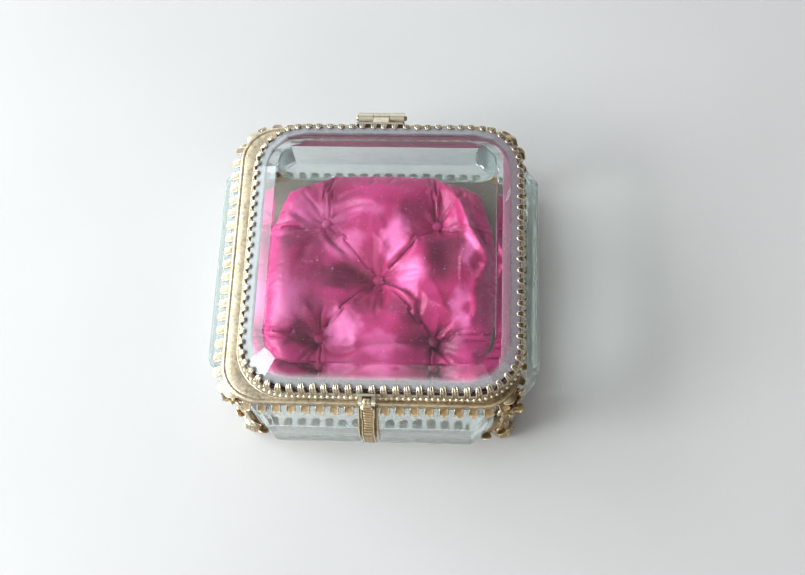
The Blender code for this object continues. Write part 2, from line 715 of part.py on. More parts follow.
def build_bracket():
    """Plate on the front of the lid with two ears for the hasp pin."""
    mat = gilt("hasp_bracket", roughness=0.4)
    plate_d = LID_HY + CLEAR
    ear_in, ear_out = HASP_EAR
    bracket = make("hasp_bracket", mat, box, -ear_out, ear_out,
                   -(plate_d + PLATE_T), -plate_d, FITTING_Z0, BAND_Z1 - 0.2)
    for x0, x1 in ((-ear_out, -ear_in), (ear_in, ear_out)):
        combine(bracket, 'UNION', mat, rod_x, x0, x1,
                -HASP_PIVOT_D, HASP_PIVOT_Z, HASP_KNUCKLE_R)
        combine(bracket, 'UNION', mat, box, x0, x1,
                -HASP_PIVOT_D + 0.1, -(plate_d + 0.3),
                HASP_PIVOT_Z - 0.8, HASP_PIVOT_Z + 0.8)
    combine(bracket, 'DIFFERENCE', mat, rod_x, -4, 4,
            -HASP_PIVOT_D, HASP_PIVOT_Z, HASP_BORE_R)


def build_hasp_pin():
    half = HASP_EAR[1] + HASP_PIN_OVER
    pin = make("hasp_pin", dark_gilt("hasp_pin", roughness=0.3), rod_x, -half, half,
               -HASP_PIVOT_D, HASP_PIVOT_Z, HASP_PIN_R, smooth=True)
    place(pin, 0.0, -HASP_PIVOT_D, HASP_PIVOT_Z)


# ---------------------------------------------------------------- assembly
build_lid_glass()
build_lid_band()
build_lid_seat()
build_tabbed_frame("upper_rim", RIM_Z0, RIM_W, up=False,
                   mat=gilt("upper_rim", roughness=0.38))
build_tabbed_frame("base_frame", BASE_Z0, BASE_W, up=True,
                   mat=dark_gilt("base_frame", roughness=0.42))
for label, side_x, side_y in (("front", 0, -1), ("back", 0, 1),
                              ("left", -1, 0), ("right", 1, 0)):
    build_panel(label + "_glass", side_x, side_y)
for label, sx, sy in (("front_left", -1, -1), ("front_right", 1, -1),
                      ("back_left", -1, 1), ("back_right", 1, 1)):
    build_post("corner_post_" + label, sx, sy)
    build_foot("foot_" + label, sx, sy)
build_floor_glass()
build_cushion_board()
build_cushion()
for label, tuft_x, tuft_y in TUFTS:
    build_button("tuft_button_" + label, tuft_x, tuft_y)
build_body_leaf()
build_lid_leaf()
build_hinge_pin()
build_keeper()
build_stud()
build_strap()
build_bracket()
build_hasp_pin()
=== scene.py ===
"""Looks of a bevelled-glass trinket casket.

The casket stands on z = 0 with its front towards -y; the glass lid lies on
top, the hasp hangs at the front and a buttoned satin cushion fills the inside.
Shapes are worked out in millimetres, with y measured from the casket's centre
line, and written in metres.
"""
import math

import bmesh
import bpy
import numpy as np
from mathutils import Matrix, Vector


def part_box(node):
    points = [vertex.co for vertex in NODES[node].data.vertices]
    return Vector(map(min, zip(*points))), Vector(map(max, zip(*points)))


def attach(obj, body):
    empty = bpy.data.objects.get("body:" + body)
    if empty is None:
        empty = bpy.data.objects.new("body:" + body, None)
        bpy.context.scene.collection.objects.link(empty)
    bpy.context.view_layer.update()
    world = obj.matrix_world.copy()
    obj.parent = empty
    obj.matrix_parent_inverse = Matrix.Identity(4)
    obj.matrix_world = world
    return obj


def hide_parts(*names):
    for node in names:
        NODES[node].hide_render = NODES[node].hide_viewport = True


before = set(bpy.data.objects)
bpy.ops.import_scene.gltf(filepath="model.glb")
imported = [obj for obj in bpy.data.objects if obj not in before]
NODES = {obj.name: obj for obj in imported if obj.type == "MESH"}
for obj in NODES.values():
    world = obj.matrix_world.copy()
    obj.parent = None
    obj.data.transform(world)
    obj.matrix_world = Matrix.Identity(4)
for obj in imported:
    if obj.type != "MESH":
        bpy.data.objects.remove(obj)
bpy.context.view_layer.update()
SCENE = bpy.context.scene
MM = 0.001
X, Y, Z = 0, 1, 2
UP = Vector((0, 0, 1))


# ---------------------------------------------------------------- places, mm
def box_mm(name):
    lo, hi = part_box(name)
    return lo / MM, hi / MM


def middle(box, axis):
    return 0.5 * (box[0][axis] + box[1][axis])


def half_span(box, axis):
    return 0.5 * (box[1][axis] - box[0][axis])


band_box = box_mm("lid_band")
lid_glass_box = box_mm("lid_glass")
front_box = box_mm("front_glass")
left_box = box_mm("left_glass")
cushion_box = box_mm("cushion")

CENTRE_Y = middle(band_box, Y)
LID_X = middle(band_box, X)
BEAD_STAND = 0.4                       # how far the beads stand out of the band
LID_HALF_X = half_span(band_box, X) - BEAD_STAND
LID_HALF_Y = half_span(band_box, Y) - BEAD_STAND
LID_RADIUS = 13.0
RIM_HALF_X, RIM_HALF_Y, RIM_RADIUS = 38.1, 38.9, 10.0
RIM_TOP = box_mm("upper_rim")[1].z
BASE_BOTTOM = box_mm("base_frame")[0].z
PANEL_BOTTOM, PANEL_TOP = front_box[0].z, front_box[1].z
BEVEL_DEPTH, BEVEL_WIDTH = 5.4, 5.5    # side glass bevel: outward, and in from the edge
FRONT_OUT = CENTRE_Y - front_box[0].y
FRONT_EDGE = FRONT_OUT - BEVEL_DEPTH
SIDE_EDGE = -left_box[0].x - BEVEL_DEPTH
POST_X, POST_Y = 35.1, 35.8            # axes of the corner posts and feet
CUSHION_X, CUSHION_Y = half_span(cushion_box, X), half_span(cushion_box, Y)


# ---------------------------------------------------------------- node helpers
class Graph:
    """Node tree being built; inputs may be sockets or plain values."""

    def __init__(self, tree, output):
        self.tree = tree
        tree.nodes.clear()
        self.output = tree.nodes.new("ShaderNode" + output)

    def add(self, kind, inputs=None, **settings):
        node = self.tree.nodes.new("ShaderNode" + kind)
        for key, value in settings.items():
            setattr(node, key, value)
        for key, value in (inputs or {}).items():
            socket = node.inputs[key]
            if isinstance(value, bpy.types.NodeSocket):
                self.tree.links.new(value, socket)
            elif isinstance(value, tuple) and len(value) == 3 and socket.type == "RGBA":
                socket.default_value = (*value, 1.0)
            else:
                socket.default_value = value
        return node

    def finish(self, shader):
        self.tree.links.new(shader.outputs[0], self.output.inputs[0])

    def math(self, operation, first, second=0.0, clamp=False):
        return self.add("Math", {0: first, 1: second}, operation=operation,
                        use_clamp=clamp).outputs[0]

    def plus(self, first, second):
        return self.math("ADD", first, second)

    def times(self, first, second):
        return self.math("MULTIPLY", first, second)

    def minus(self, first, second, clamp=False):
        return self.math("SUBTRACT", first, second, clamp)

    def unit(self, value):
        """-1..1 brought to 0..1."""
        return self.plus(self.times(value, 0.5), 0.5)

    def vector(self, operation, *inputs):
        return self.add("VectorMath", dict(enumerate(inputs)), operation=operation)

    def mix(self, factor, first, second):
        return self.add("Mix", {0: factor, 6: first, 7: second}, data_type="RGBA").outputs[2]

    def ramp(self, factor, stops):
        """Colour ramp; stops are (position, grey or colour)."""
        node = self.add("ValToRGB", {"Fac": factor})
        elements = node.color_ramp.elements
        while len(elements) > 1:
            elements.remove(elements[-1])
        for i, (position, colour) in enumerate(stops):
            element = elements[0] if i == 0 else elements.new(position)
            element.position = position
            if isinstance(colour, (int, float)):
                colour = (colour,) * 3
            element.color = (*colour, 1.0)
        return node.outputs["Color"]

    def map_range(self, value, to_min, to_max, from_min=0.0, from_max=1.0, **settings):
        return self.add("MapRange", {0: value, 1: from_min, 2: from_max, 3: to_min, 4: to_max},
                        **settings).outputs[0]

    def noise(self, vector, **inputs):
        return self.add("TexNoise", {"Vector": vector, **inputs}).outputs[0]

    def bump(self, height, strength, distance, **inputs):
        return self.add("Bump", {"Height": height, "Strength": strength,
                                 "Distance": distance, **inputs}).outputs[0]

    def tex_coord(self, output):
        return self.add("TexCoord").outputs[output]

    def coords(self, stretch=(1, 1, 1)):
        """Object coordinates in millimetres."""
        return self.add("Mapping", {"Vector": self.tex_coord("Object"),
                                    "Scale": tuple(1000.0 * s for s in stretch)}).outputs[0]


def new_material(name):
    material = bpy.data.materials.new(name)
    material.use_nodes = True
    return material, Graph(material.node_tree, "OutputMaterial")


def dimmed(colour, share):
    return tuple(share * c for c in colour)


# ---------------------------------------------------------------- metals
def top_mask(graph, vector):
    """Faces that look up."""
    upward = graph.add("SeparateXYZ", {0: graph.tex_coord("Normal")}).outputs[2]
    return graph.ramp(graph.unit(upward), [(0.60, 0.0), (0.75, 1.0)])


def under_lid_mask(graph, vector):
    """Places inside the lid's rounded outline."""
    place = graph.add("SeparateXYZ", {0: vector})

    def past(axis, centre, straight):
        from_centre = graph.math("ABSOLUTE", graph.minus(place.outputs[axis], centre))
        return graph.minus(from_centre, straight)

    past_x = past(X, LID_X, LID_HALF_X - LID_RADIUS)
    past_y = past(Y, CENTRE_Y, LID_HALF_Y - LID_RADIUS)
    corner = graph.add("CombineXYZ", {0: graph.math("MAXIMUM", past_x, 0.0),
                                      1: graph.math("MAXIMUM", past_y, 0.0)})
    distance = graph.vector("LENGTH", corner.outputs[0]).outputs["Value"]
    return graph.map_range(distance, from_min=LID_RADIUS - 1.7, from_max=LID_RADIUS - 0.9,
                           to_min=1.0, to_max=0.0)


def inner_wall_mask(graph, vector):
    """Faces that look towards the origin."""
    own = graph.add("TexCoord")
    outward = graph.vector("NORMALIZE", own.outputs["Object"]).outputs[0]
    facing = graph.vector("DOT_PRODUCT", own.outputs["Normal"], outward).outputs["Value"]
    return graph.ramp(graph.unit(facing), [(0.28, 1.0), (0.40, 0.0)])


def metal(name, colours, roughness, tarnish, pale, painted_left_light=0.0, painted_light_layer=None):
    """Old gilding: bright worn edges, brown hollows, blotches of tarnish.

    colours is (worn edge, body, tarnish); the last argument is (mask function, dark colour, light
    colour, metallic lost), painted shade and painted pink refraction on masked faces; the one
    before sets painted cream light on the left.
    """
    bright, body, dark = colours
    material, graph = new_material(name)
    place = graph.coords()
    blotch = graph.noise(place, Scale=0.16, Detail=5.0, Roughness=0.62, Distortion=0.5)
    fine = graph.noise(place, Scale=1.3, Detail=7.0, Roughness=0.65)
    tiny = graph.noise(place, Scale=6.0, Detail=3.0)
    pits = graph.add("TexVoronoi", {"Vector": place, "Scale": 2.2,
                                    "Randomness": 1.0}).outputs["Distance"]
    mixed = graph.plus(graph.times(blotch, 0.6), graph.times(fine, 0.4))
    stain = graph.ramp(mixed, [(0.5 - 0.12 * tarnish, 1.0), (0.6, 0.0)])
    point = graph.add("NewGeometry").outputs["Pointiness"]
    edge = graph.ramp(point, [(0.51, 0.0), (0.60, 1.0)])
    hollow = graph.ramp(point, [(0.36, 1.0), (0.485, 0.0)])
    colour = graph.mix(graph.times(stain, tarnish), body, dark)
    colour = graph.mix(graph.times(hollow, 0.75), colour, dimmed(dark, 0.45))
    colour = graph.mix(graph.times(edge, 0.8), colour, bright)
    speck = graph.ramp(fine, [(0.58, 0.0), (0.70, 1.0)])
    colour = graph.mix(graph.times(speck, pale), colour, (0.62, 0.60, 0.50))
    rough = graph.map_range(mixed, *roughness)
    rough = graph.math("ADD", rough, graph.times(hollow, 0.2), clamp=True)
    height = graph.plus(graph.times(fine, 0.6), graph.times(tiny, 0.25))
    pitting = graph.ramp(pits, [(0.05, 0.0), (0.22, 1.0)])
    height = graph.plus(height, graph.times(pitting, 0.25))
    metallic = graph.minus(1.0, graph.times(hollow, 0.35))
    if painted_left_light:
        # painted light: dull cream mostly on the left, standing in for the window light falling
        # there
        across = graph.add("SeparateXYZ", {0: graph.tex_coord("Object")}).outputs[0]
        side = graph.map_range(across, from_min=0.020, from_max=-0.036, to_min=0.12, to_max=1.0)
        painted_lightening = graph.ramp(fine, [(0.36, 0.25), (0.56, 1.0)])
        lit_cream = graph.times(graph.times(side, painted_lightening), painted_left_light)
        lit_cream = graph.times(lit_cream, graph.minus(1.0, graph.times(hollow, 0.8)))
        colour = graph.mix(lit_cream, colour, (0.74, 0.70, 0.58))
        metallic = graph.minus(metallic, graph.times(lit_cream, 0.85), clamp=True)
    # painted shade and painted pink refraction laid over the masked faces
    if painted_light_layer:
        find_mask, painted_dark, painted_pale, metallic_lost = painted_light_layer
        mask = find_mask(graph, place)
        colour = graph.mix(mask, colour, graph.mix(fine, painted_dark, painted_pale))
        metallic = graph.minus(metallic, graph.times(mask, metallic_lost), clamp=True)
    graph.finish(graph.add("BsdfPrincipled", {
        "Base Color": colour, "Roughness": rough, "Metallic": metallic,
        "Normal": graph.bump(height, strength=0.35, distance=0.00012)}))
    return material


# ---------------------------------------------------------------- glass
# Dust specks: cells per mm, speck radius in cells, share of cells left empty
SPECKS = [(0.30, 0.045, 0.66), (0.75, 0.075, 0.72), (1.5, 0.11, 0.74)]


def glass(name, tint, specks, wavy, frost=0.0, haze=0.0, frost_colour=(0.62, 0.68, 0.66)):
    """Old polished glass: slight tint, faint waviness, ground and dusty parts.

    frost is the grinding along the mesh attribute "rim", haze an overall film.
    """
    material, graph = new_material(name)
    place = graph.coords()
    waves = graph.noise(place, Scale=0.07, Detail=2.0)
    fine = graph.noise(place, Scale=2.4, Detail=5.0, Roughness=0.7)
    smear = graph.noise(place, Scale=0.11, Detail=5.0, Roughness=0.6)
    clear = graph.add("BsdfPrincipled", {
        "Base Color": tint, "Transmission Weight": 1.0, "IOR": 1.5,
        "Roughness": graph.map_range(smear, from_min=0.45, from_max=0.8, to_min=0.0, to_max=0.05),
        "Normal": graph.bump(waves, strength=wavy, distance=0.0006)})
    dust = graph.add("BsdfPrincipled", {
        "Base Color": graph.mix(fine, dimmed(frost_colour, 0.75), frost_colour),
        "Roughness": 0.6, "Normal": graph.bump(fine, strength=0.4, distance=0.0001)})

    mask = None
    if frost:
        rim = graph.add("Attribute", attribute_name="rim").outputs["Fac"]
        rim = graph.plus(rim, graph.times(graph.minus(smear, 0.5), 0.35))
        ground = graph.ramp(rim, [(0.42, 0.0), (0.62, 0.45), (0.80, 1.0)])
        mask = graph.times(ground, graph.map_range(fine, 0.45 * frost, 1.25 * frost))
    if haze:
        film = graph.map_range(smear, from_min=0.35, from_max=0.75,
                               to_min=0.25 * haze, to_max=haze)
        mask = graph.math("MAXIMUM", mask, film) if mask else film
    for scale, size, empty in SPECKS:
        cells = graph.add("TexVoronoi", {"Vector": place, "Scale": scale, "Randomness": 1.0})
        chance = graph.add("SeparateColor", {0: cells.outputs["Color"]}).outputs[0]
        gate = graph.ramp(chance, [(empty, 0.0), (empty + 0.02, 1.0)])
        lump = graph.math("LESS_THAN", cells.outputs["Distance"], size)
        mask = graph.math("MAXIMUM", mask, graph.times(graph.times(gate, lump), specks))
    # hair scratches running along y
    hair = graph.add("TexVoronoi", {"Vector": graph.coords((0.12, 0.0144, 0.12)), "Scale": 1.0,
                                    "Randomness": 1.0}, feature="DISTANCE_TO_EDGE")
    scratch = graph.math("LESS_THAN", hair.outputs["Distance"], 0.0018)
    gate = graph.ramp(smear, [(0.54, 0.0), (0.60, 1.0)])
    scratch = graph.times(graph.times(scratch, gate), 0.22 * specks)
    mask = graph.math("MINIMUM", graph.math("MAXIMUM", mask, scratch), 1.0)
    surface = graph.add("MixShader", {0: mask, 1: clear.outputs[0], 2: dust.outputs[0]})
    # shadows pass through as through plain tinted film
    film = graph.add("BsdfTransparent", {"Color": tuple(0.5 + 0.5 * c for c in tint)})
    graph.finish(graph.add("MixShader", {0: graph.add("LightPath").outputs["Is Shadow Ray"],
                                         1: surface.outputs[0], 2: film.outputs[0]}))
    return material


# ---------------------------------------------------------------- cloth, card, floor
# Painted shade patches and painted highlight patches on the satin: x, y, half length in x, half
# length in y, strength
SHADE_PATCHES = [
    (18.5, 7.0, 7.5, 10.5, 0.85), (-8.5, -1.0, 10.0, 4.0, 0.80), (17.0, -17.5, 9.5, 5.0, 0.80),
    (10.0, 20.0, 8.0, 6.0, 0.55), (-21.5, -17.5, 7.0, 3.0, 0.75), (-2.0, -9.0, 9.0, 5.5, 0.50),
    (-24.5, 9.5, 4.5, 4.0, 0.60), (8.0, -10.5, 7.0, 4.0, 0.55), (27.0, 3.0, 2.5, 7.0, 0.55),
    (-17.5, -9.0, 4.0, 3.0, 0.40)]
HIGHLIGHT_PATCHES = [
    (-9.0, 8.0, 6.0, 6.0, 0.55), (4.5, 10.5, 4.0, 8.0, 0.75), (8.5, 0.0, 5.0, 4.5, 0.60),
    (-9.0, -16.0, 5.0, 5.0, 0.75), (-25.0, -6.5, 5.5, 9.0, 0.60), (23.5, -10.0, 3.0, 8.0, 0.60),
    (-19.0, 19.0, 8.0, 6.0, 0.60), (25.5, 11.0, 2.6, 10.0, 0.65), (-6.0, 20.0, 7.0, 3.0, 0.40),
    (2.0, -20.0, 6.0, 3.0, 0.35)]


def patch_mask(graph, place, patches):
    total = None
    for x, y, half_x, half_y, strength in patches:
        offset = graph.vector("SUBTRACT", place, (x, y + CENTRE_Y, 0.0)).outputs[0]
        offset = graph.vector("MULTIPLY", offset, (1.0 / half_x, 1.0 / half_y, 0.0)).outputs[0]
        distance = graph.vector("LENGTH", offset).outputs["Value"]
        spot = graph.map_range(distance, from_min=1.25, from_max=0.25, to_min=0.0,
                               to_max=strength, interpolation_type="SMOOTHSTEP")
        total = graph.math("MAXIMUM", total, spot) if total else spot
    return total


def satin(name):
    """Rose silk satin: fine weave, soft sheen; painted light and shade in patches, creases and
    ridges.
    """
    material, graph = new_material(name)
    place = graph.coords()
    patch = graph.noise(place, Scale=0.06, Detail=3.0, Roughness=0.5)
    cloud = graph.noise(place, Scale=0.35, Detail=4.0)

    def threads(scale, distortion, direction):
        return graph.add("TexWave", {"Vector": place, "Scale": scale, "Distortion": distortion,
                                     "Detail": 1.0, "Detail Scale": 2.0},
                         wave_type="BANDS", bands_direction=direction).outputs["Fac"]

    warp = threads(1.9, 0.4, "X")
    weft = threads(0.8, 0.6, "Y")
    slub = graph.noise(graph.coords((0.15, 4.0, 1.0)), Scale=1.0, Detail=2.0)
    colour = graph.mix(graph.ramp(patch, [(0.36, 0.0), (0.66, 1.0)]),
                       (0.31, 0.010, 0.078), (0.47, 0.028, 0.160))
    colour = graph.mix(graph.ramp(cloud, [(0.35, 0.0), (0.75, 0.35)]), colour,
                       (0.55, 0.045, 0.22))
    # the patches have wandering outlines
    sway = graph.add("TexNoise", {"Vector": place, "Scale": 0.13, "Detail": 3.0})
    sway = graph.vector("SUBTRACT", sway.outputs["Color"], (0.5, 0.5, 0.5)).outputs[0]
    sway = graph.add("VectorMath", {0: sway, "Scale": 13.0}, operation="SCALE").outputs[0]
    swayed = graph.vector("ADD", place, sway).outputs[0]
    # painted shade and painted highlight, laid on in patches by position
    shade = patch_mask(graph, swayed, SHADE_PATCHES)
    amount = patch_mask(graph, swayed, HIGHLIGHT_PATCHES)
    colour = graph.mix(graph.times(amount, 1.15), colour, (0.80, 0.18, 0.45))
    colour = graph.mix(graph.times(shade, 1.08), colour, (0.095, 0.005, 0.024))
    point = graph.add("NewGeometry").outputs["Pointiness"]
    # painted shade in the creases and painted highlight on the ridges, from pointiness
    crease_shade = graph.ramp(point, [(0.42, 1.0), (0.49, 0.0)])
    painted_lightening = graph.ramp(point, [(0.52, 0.0), (0.60, 1.0)])
    colour = graph.mix(graph.times(crease_shade, 0.6), colour, (0.12, 0.004, 0.035))
    colour = graph.mix(graph.times(painted_lightening, 0.35), colour, (0.80, 0.12, 0.28))
    height = graph.plus(graph.times(warp, 0.5), graph.times(weft, 0.3))
    height = graph.plus(height, graph.times(slub, 0.5))
    weave = graph.bump(height, strength=0.10, distance=0.00006)
    graph.finish(graph.add("BsdfPrincipled", {
        "Base Color": colour, "Roughness": graph.map_range(slub, 0.34, 0.46),
        "Specular IOR Level": 0.78, "Anisotropic": 0.35, "Sheen Weight": 0.22,
        "Sheen Roughness": 0.30, "Sheen Tint": (0.95, 0.30, 0.55),
        "Specular Tint": (1.0, 0.50, 0.72),
        "Normal": graph.bump(cloud, strength=0.25, distance=0.0008, Normal=weave)}))
    return material


def card(name):
    """Grey-brown card with fibres and blots."""
    material, graph = new_material(name)
    place = graph.coords()
    fibre = graph.noise(graph.coords((0.5, 3.0, 1.0)), Scale=1.2, Detail=6.0)
    blot = graph.noise(place, Scale=0.08, Detail=4.0)
    colour = graph.mix(graph.ramp(blot, [(0.35, 0.0), (0.7, 1.0)]),
                       (0.20, 0.17, 0.14), (0.11, 0.09, 0.08))
    colour = graph.mix(graph.times(fibre, 0.4), colour, (0.26, 0.23, 0.19))
    graph.finish(graph.add("BsdfPrincipled", {
        "Base Color": colour, "Roughness": 0.85,
        "Normal": graph.bump(fibre, strength=0.5, distance=0.0001)}))
    return material


def pale_floor(name):
    material, graph = new_material(name)
    place = graph.coords()
    cloud = graph.noise(place, Scale=0.012, Detail=3.0)
    grain = graph.noise(place, Scale=0.8, Detail=4.0)
    graph.finish(graph.add("BsdfPrincipled", {
        "Base Color": graph.mix(cloud, (0.50, 0.488, 0.472), (0.56, 0.548, 0.532)),
        "Roughness": 0.62, "Specular IOR Level": 0.25,
        "Normal": graph.bump(grain, strength=0.08, distance=0.0001)}))
    return material


# the value after pale= paints cream light on the left-hand side of each metal
GILT_COLOURS = (0.93, 0.84, 0.62), (0.52, 0.37, 0.18), (0.19, 0.105, 0.045)
GILT = metal("gilt_brass", GILT_COLOURS, roughness=(0.20, 0.42), tarnish=0.80, pale=0.45,
             painted_left_light=0.34)
# darker copy of the gilt as painted shade, for the right-hand castings and the base frame
GILT_SHADED = metal("gilt_brass_shaded",
                  ((0.80, 0.66, 0.42), (0.40, 0.25, 0.11), (0.13, 0.07, 0.03)),
                  roughness=(0.24, 0.48), tarnish=0.75, pale=0.15)
# painted pink refraction, dark to rose, on the rim where it lies under the lid
RIM = metal("gilt_brass_rim", GILT_COLOURS, roughness=(0.20, 0.42), tarnish=0.80, pale=0.45,
            painted_left_light=0.42,
            painted_light_layer=(under_lid_mask, (0.09, 0.034, 0.050), (0.28, 0.105, 0.155), 0.75))
# painted shade, dark brown and less metallic, on the inner wall behind the prongs
BAND = metal("gilt_brass_band", ((0.95, 0.88, 0.70), (0.46, 0.36, 0.22), (0.11, 0.07, 0.035)),
             roughness=(0.20, 0.42), tarnish=0.85, pale=0.5, painted_left_light=0.28,
             painted_light_layer=(inner_wall_mask, (0.045, 0.026, 0.016), (0.12, 0.075, 0.045), 0.7))
AGED = metal("aged_brass", ((0.75, 0.66, 0.45), (0.34, 0.27, 0.15), (0.12, 0.08, 0.04)),
             roughness=(0.3, 0.55), tarnish=0.7, pale=0.3)
# painted pink refraction on the upward faces of the ledge under the lid glass
LEDGE = metal("aged_brass_ledge", ((0.55, 0.46, 0.30), (0.30, 0.22, 0.12), (0.12, 0.075, 0.04)),
              roughness=(0.40, 0.60), tarnish=0.7, pale=0.2,
              painted_light_layer=(top_mask, (0.05, 0.020, 0.034), (0.16, 0.065, 0.105), 0.3))
LID_GLASS = glass("bevelled_glass_lid", (0.97, 0.985, 0.98), specks=0.75, wavy=0.15, frost=0.50)
SIDE_GLASS = glass("bevelled_glass_side", (0.86, 0.93, 0.915), specks=0.35, wavy=0.3,
                   frost=0.45, haze=0.16, frost_colour=(0.60, 0.68, 0.68))
FLOOR_GLASS = glass("bevelled_glass_floor", (0.88, 0.94, 0.92), specks=0.2, wavy=0.3, haze=0.12)
SATIN = satin("silk_satin")
CARD = card("card")


# ---------------------------------------------------------------- mesh helpers
def piece(name, draft, material, body="casket", replaces=(), sharp=50.0,
          solid=0.0, weld=True):
    """Write a bmesh drawn in millimetres as a riding piece.

    sharp is the angle from which edges stay sharp, None for flat shading;
    solid is a thickness added inwards.
    """
    if weld:
        bmesh.ops.remove_doubles(draft, verts=draft.verts[:], dist=1e-4)
    bmesh.ops.recalc_face_normals(draft, faces=draft.faces[:])
    mesh = bpy.data.meshes.new(name)
    bmesh.ops.translate(draft, vec=(0.0, CENTRE_Y, 0.0), verts=draft.verts[:])
    bmesh.ops.scale(draft, vec=(MM, MM, MM), verts=draft.verts[:])
    draft.to_mesh(mesh)
    draft.free()
    mesh.materials.append(material)
    thing = bpy.data.objects.new(name, mesh)
    SCENE.collection.objects.link(thing)
    if sharp is not None:
        mesh.shade_smooth()
        mesh.set_sharp_from_angle(angle=math.radians(sharp))
    if solid:
        thickness = thing.modifiers.new("thickness", 'SOLIDIFY')
        thickness.thickness = solid * MM
        thickness.offset = -1.0
        thickness.use_even_offset = True
    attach(thing, body)
    if replaces:
        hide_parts(*replaces)


def dress(name, material):
    """Give a kept CAD piece one material."""
    NODES[name].data.materials.clear()
    NODES[name].data.materials.append(material)


def mirrored(rows):
    """Rows from the left edge to the middle, carried on to the right edge."""
    return rows + [(-row[0], *row[1:]) for row in reversed(rows[:-1])]


class Outline:
    """Rounded rectangle walked counter-clockwise from the middle of the front."""

    def __init__(self, half_x, half_y, radius, centre_x=0.0):
        self.centre_x = centre_x
        self.radius = radius
        arc = 0.5 * math.pi * radius
        flat_x, flat_y = half_x - radius, half_y - radius
        # line: start, direction, length; arc: centre, first angle, length
        self.parts = [
            ("line", (0, -half_y), (1, 0), flat_x), ("arc", (flat_x, -flat_y), -90.0, arc),
            ("line", (half_x, -flat_y), (0, 1), 2 * flat_y), ("arc", (flat_x, flat_y), 0.0, arc),
            ("line", (flat_x, half_y), (-1, 0), 2 * flat_x), ("arc", (-flat_x, flat_y), 90.0, arc),
            ("line", (-half_x, flat_y), (0, -1), 2 * flat_y),
            ("arc", (-flat_x, -flat_y), 180.0, arc), ("line", (-flat_x, -half_y), (1, 0), flat_x)]
        self.length = sum(part[3] for part in self.parts)

    def at(self, along):
        """x, y and the outward direction at a distance along the outline."""
        along %= self.length
        for kind, (x, y), turn, size in self.parts:
            if along <= size + 1e-9:
                if kind == "line":
                    return (x + turn[0] * along + self.centre_x, y + turn[1] * along,
                            turn[1], -turn[0])
                angle = math.radians(turn + 90.0 * along / size)
                cos, sin = math.cos(angle), math.sin(angle)
                return x + cos * self.radius + self.centre_x, y + sin * self.radius, cos, sin
            along -= size
        return self.at(0.0)

    def point(self, along, out, z):
        x, y, out_x, out_y = self.at(along)
        return (x + out_x * out, y + out_y * out, z)

    def corner_angle(self, along):
        """Degrees from the nearer flat side, 0 on a straight."""
        _, _, out_x, out_y = self.at(along)
        angle = math.degrees(math.atan2(abs(out_x), abs(out_y)))
        return min(angle, 90.0 - angle)


def ring(draft, outline, profile, count):
    """Closed moulding: profile of (outward offset, z) swept all round."""
    rows = []
    for i in range(count):
        along = outline.length * i / count
        rows.append([draft.verts.new(outline.point(along, out, z)) for out, z in profile])
    size = len(profile)
    for i in range(count):
        here, ahead = rows[i], rows[(i + 1) % count]
        for j in range(size):
            k = (j + 1) % size
            draft.faces.new((here[j], ahead[j], ahead[k], here[k]))


def skin(draft, loops, caps=True):
    """Bridge closed loops one after another and cap both ends."""
    for here, ahead in zip(loops, loops[1:]):
        for k in range(len(here)):
            k2 = (k + 1) % len(here)
            draft.faces.new((here[k], here[k2], ahead[k2], ahead[k]))
    if caps:
        draft.faces.new(loops[0])
        draft.faces.new(loops[-1])


def tube(draft, points, radii, seg, up=None):
    """Round bar along a list of points."""
    points = [Vector(p) for p in points]
    last = len(points) - 1
    if isinstance(radii, float):
        radii = [radii] * len(points)
    loops = []
    upright = Vector(up) if up else None
    for i, point in enumerate(points):
        ahead = (points[min(i + 1, last)] - points[max(i - 1, 0)]).normalized()
        if upright is None:
            upright = Vector((0, 0, 1)) if abs(ahead.z) < 0.9 else Vector((1, 0, 0))
        across = ahead.cross(upright).normalized()
        rise = across.cross(ahead).normalized()
        if up is None:
            upright = rise.copy()
        loops.append([draft.verts.new(point + radii[i] * (math.cos(math.tau * k / seg) * across
                                                          + math.sin(math.tau * k / seg) * rise))
                      for k in range(seg)])
    skin(draft, loops)


def ball(draft, centre, radius, seg, rings):
    x, y, z = centre
    top = draft.verts.new((x, y, z + radius))
    low = draft.verts.new((x, y, z - radius))
    rows = []
    for i in range(1, rings):
        angle = math.pi * i / rings
        level = radius * math.sin(angle)
        rows.append([draft.verts.new((x + level * math.cos(math.tau * k / seg),
                                      y + level * math.sin(math.tau * k / seg),
                                      z + radius * math.cos(angle))) for k in range(seg)])
    for k in range(seg):
        k2 = (k + 1) % seg
        draft.faces.new((top, rows[0][k], rows[0][k2]))
        draft.faces.new((low, rows[-1][k2], rows[-1][k]))
        for upper, lower in zip(rows, rows[1:]):
            draft.faces.new((upper[k], lower[k], lower[k2], upper[k2]))


def turned(draft, profile, seg, centre_x, centre_y, flute=0.0, flutes=0, zone=(0.0, 0.0)):
    """Lathe about an upright axis; optional fluting between two heights."""
    loops = []
    for radius, z in profile:
        loop = []
        for k in range(seg):
            angle = math.tau * k / seg
            cut = radius
            if flute and zone[0] <= z <= zone[1]:
                cut -= flute * (0.5 + 0.5 * math.cos(flutes * angle)) ** 2
            loop.append(draft.verts.new((centre_x + cut * math.cos(angle),
                                         centre_y + cut * math.sin(angle), z)))
        loops.append(loop)
    skin(draft, loops)


def spline(points, count):
    """Smooth curve through control points (Catmull-Rom), count points per span."""
    knots = [Vector(p) for p in points]
    knots = [2 * knots[0] - knots[1]] + knots + [2 * knots[-1] - knots[-2]]
    curve = []
    for before, start, end, after in zip(knots, knots[1:], knots[2:], knots[3:]):
        for k in range(count):
            t = k / count
            curve.append(0.5 * ((2 * start) + (end - before) * t
                                + (2 * before - 5 * start + 4 * end - after) * t * t
                                + (3 * start - before - 3 * end + after) * t ** 3))
    curve.append(knots[-2])
    return curve


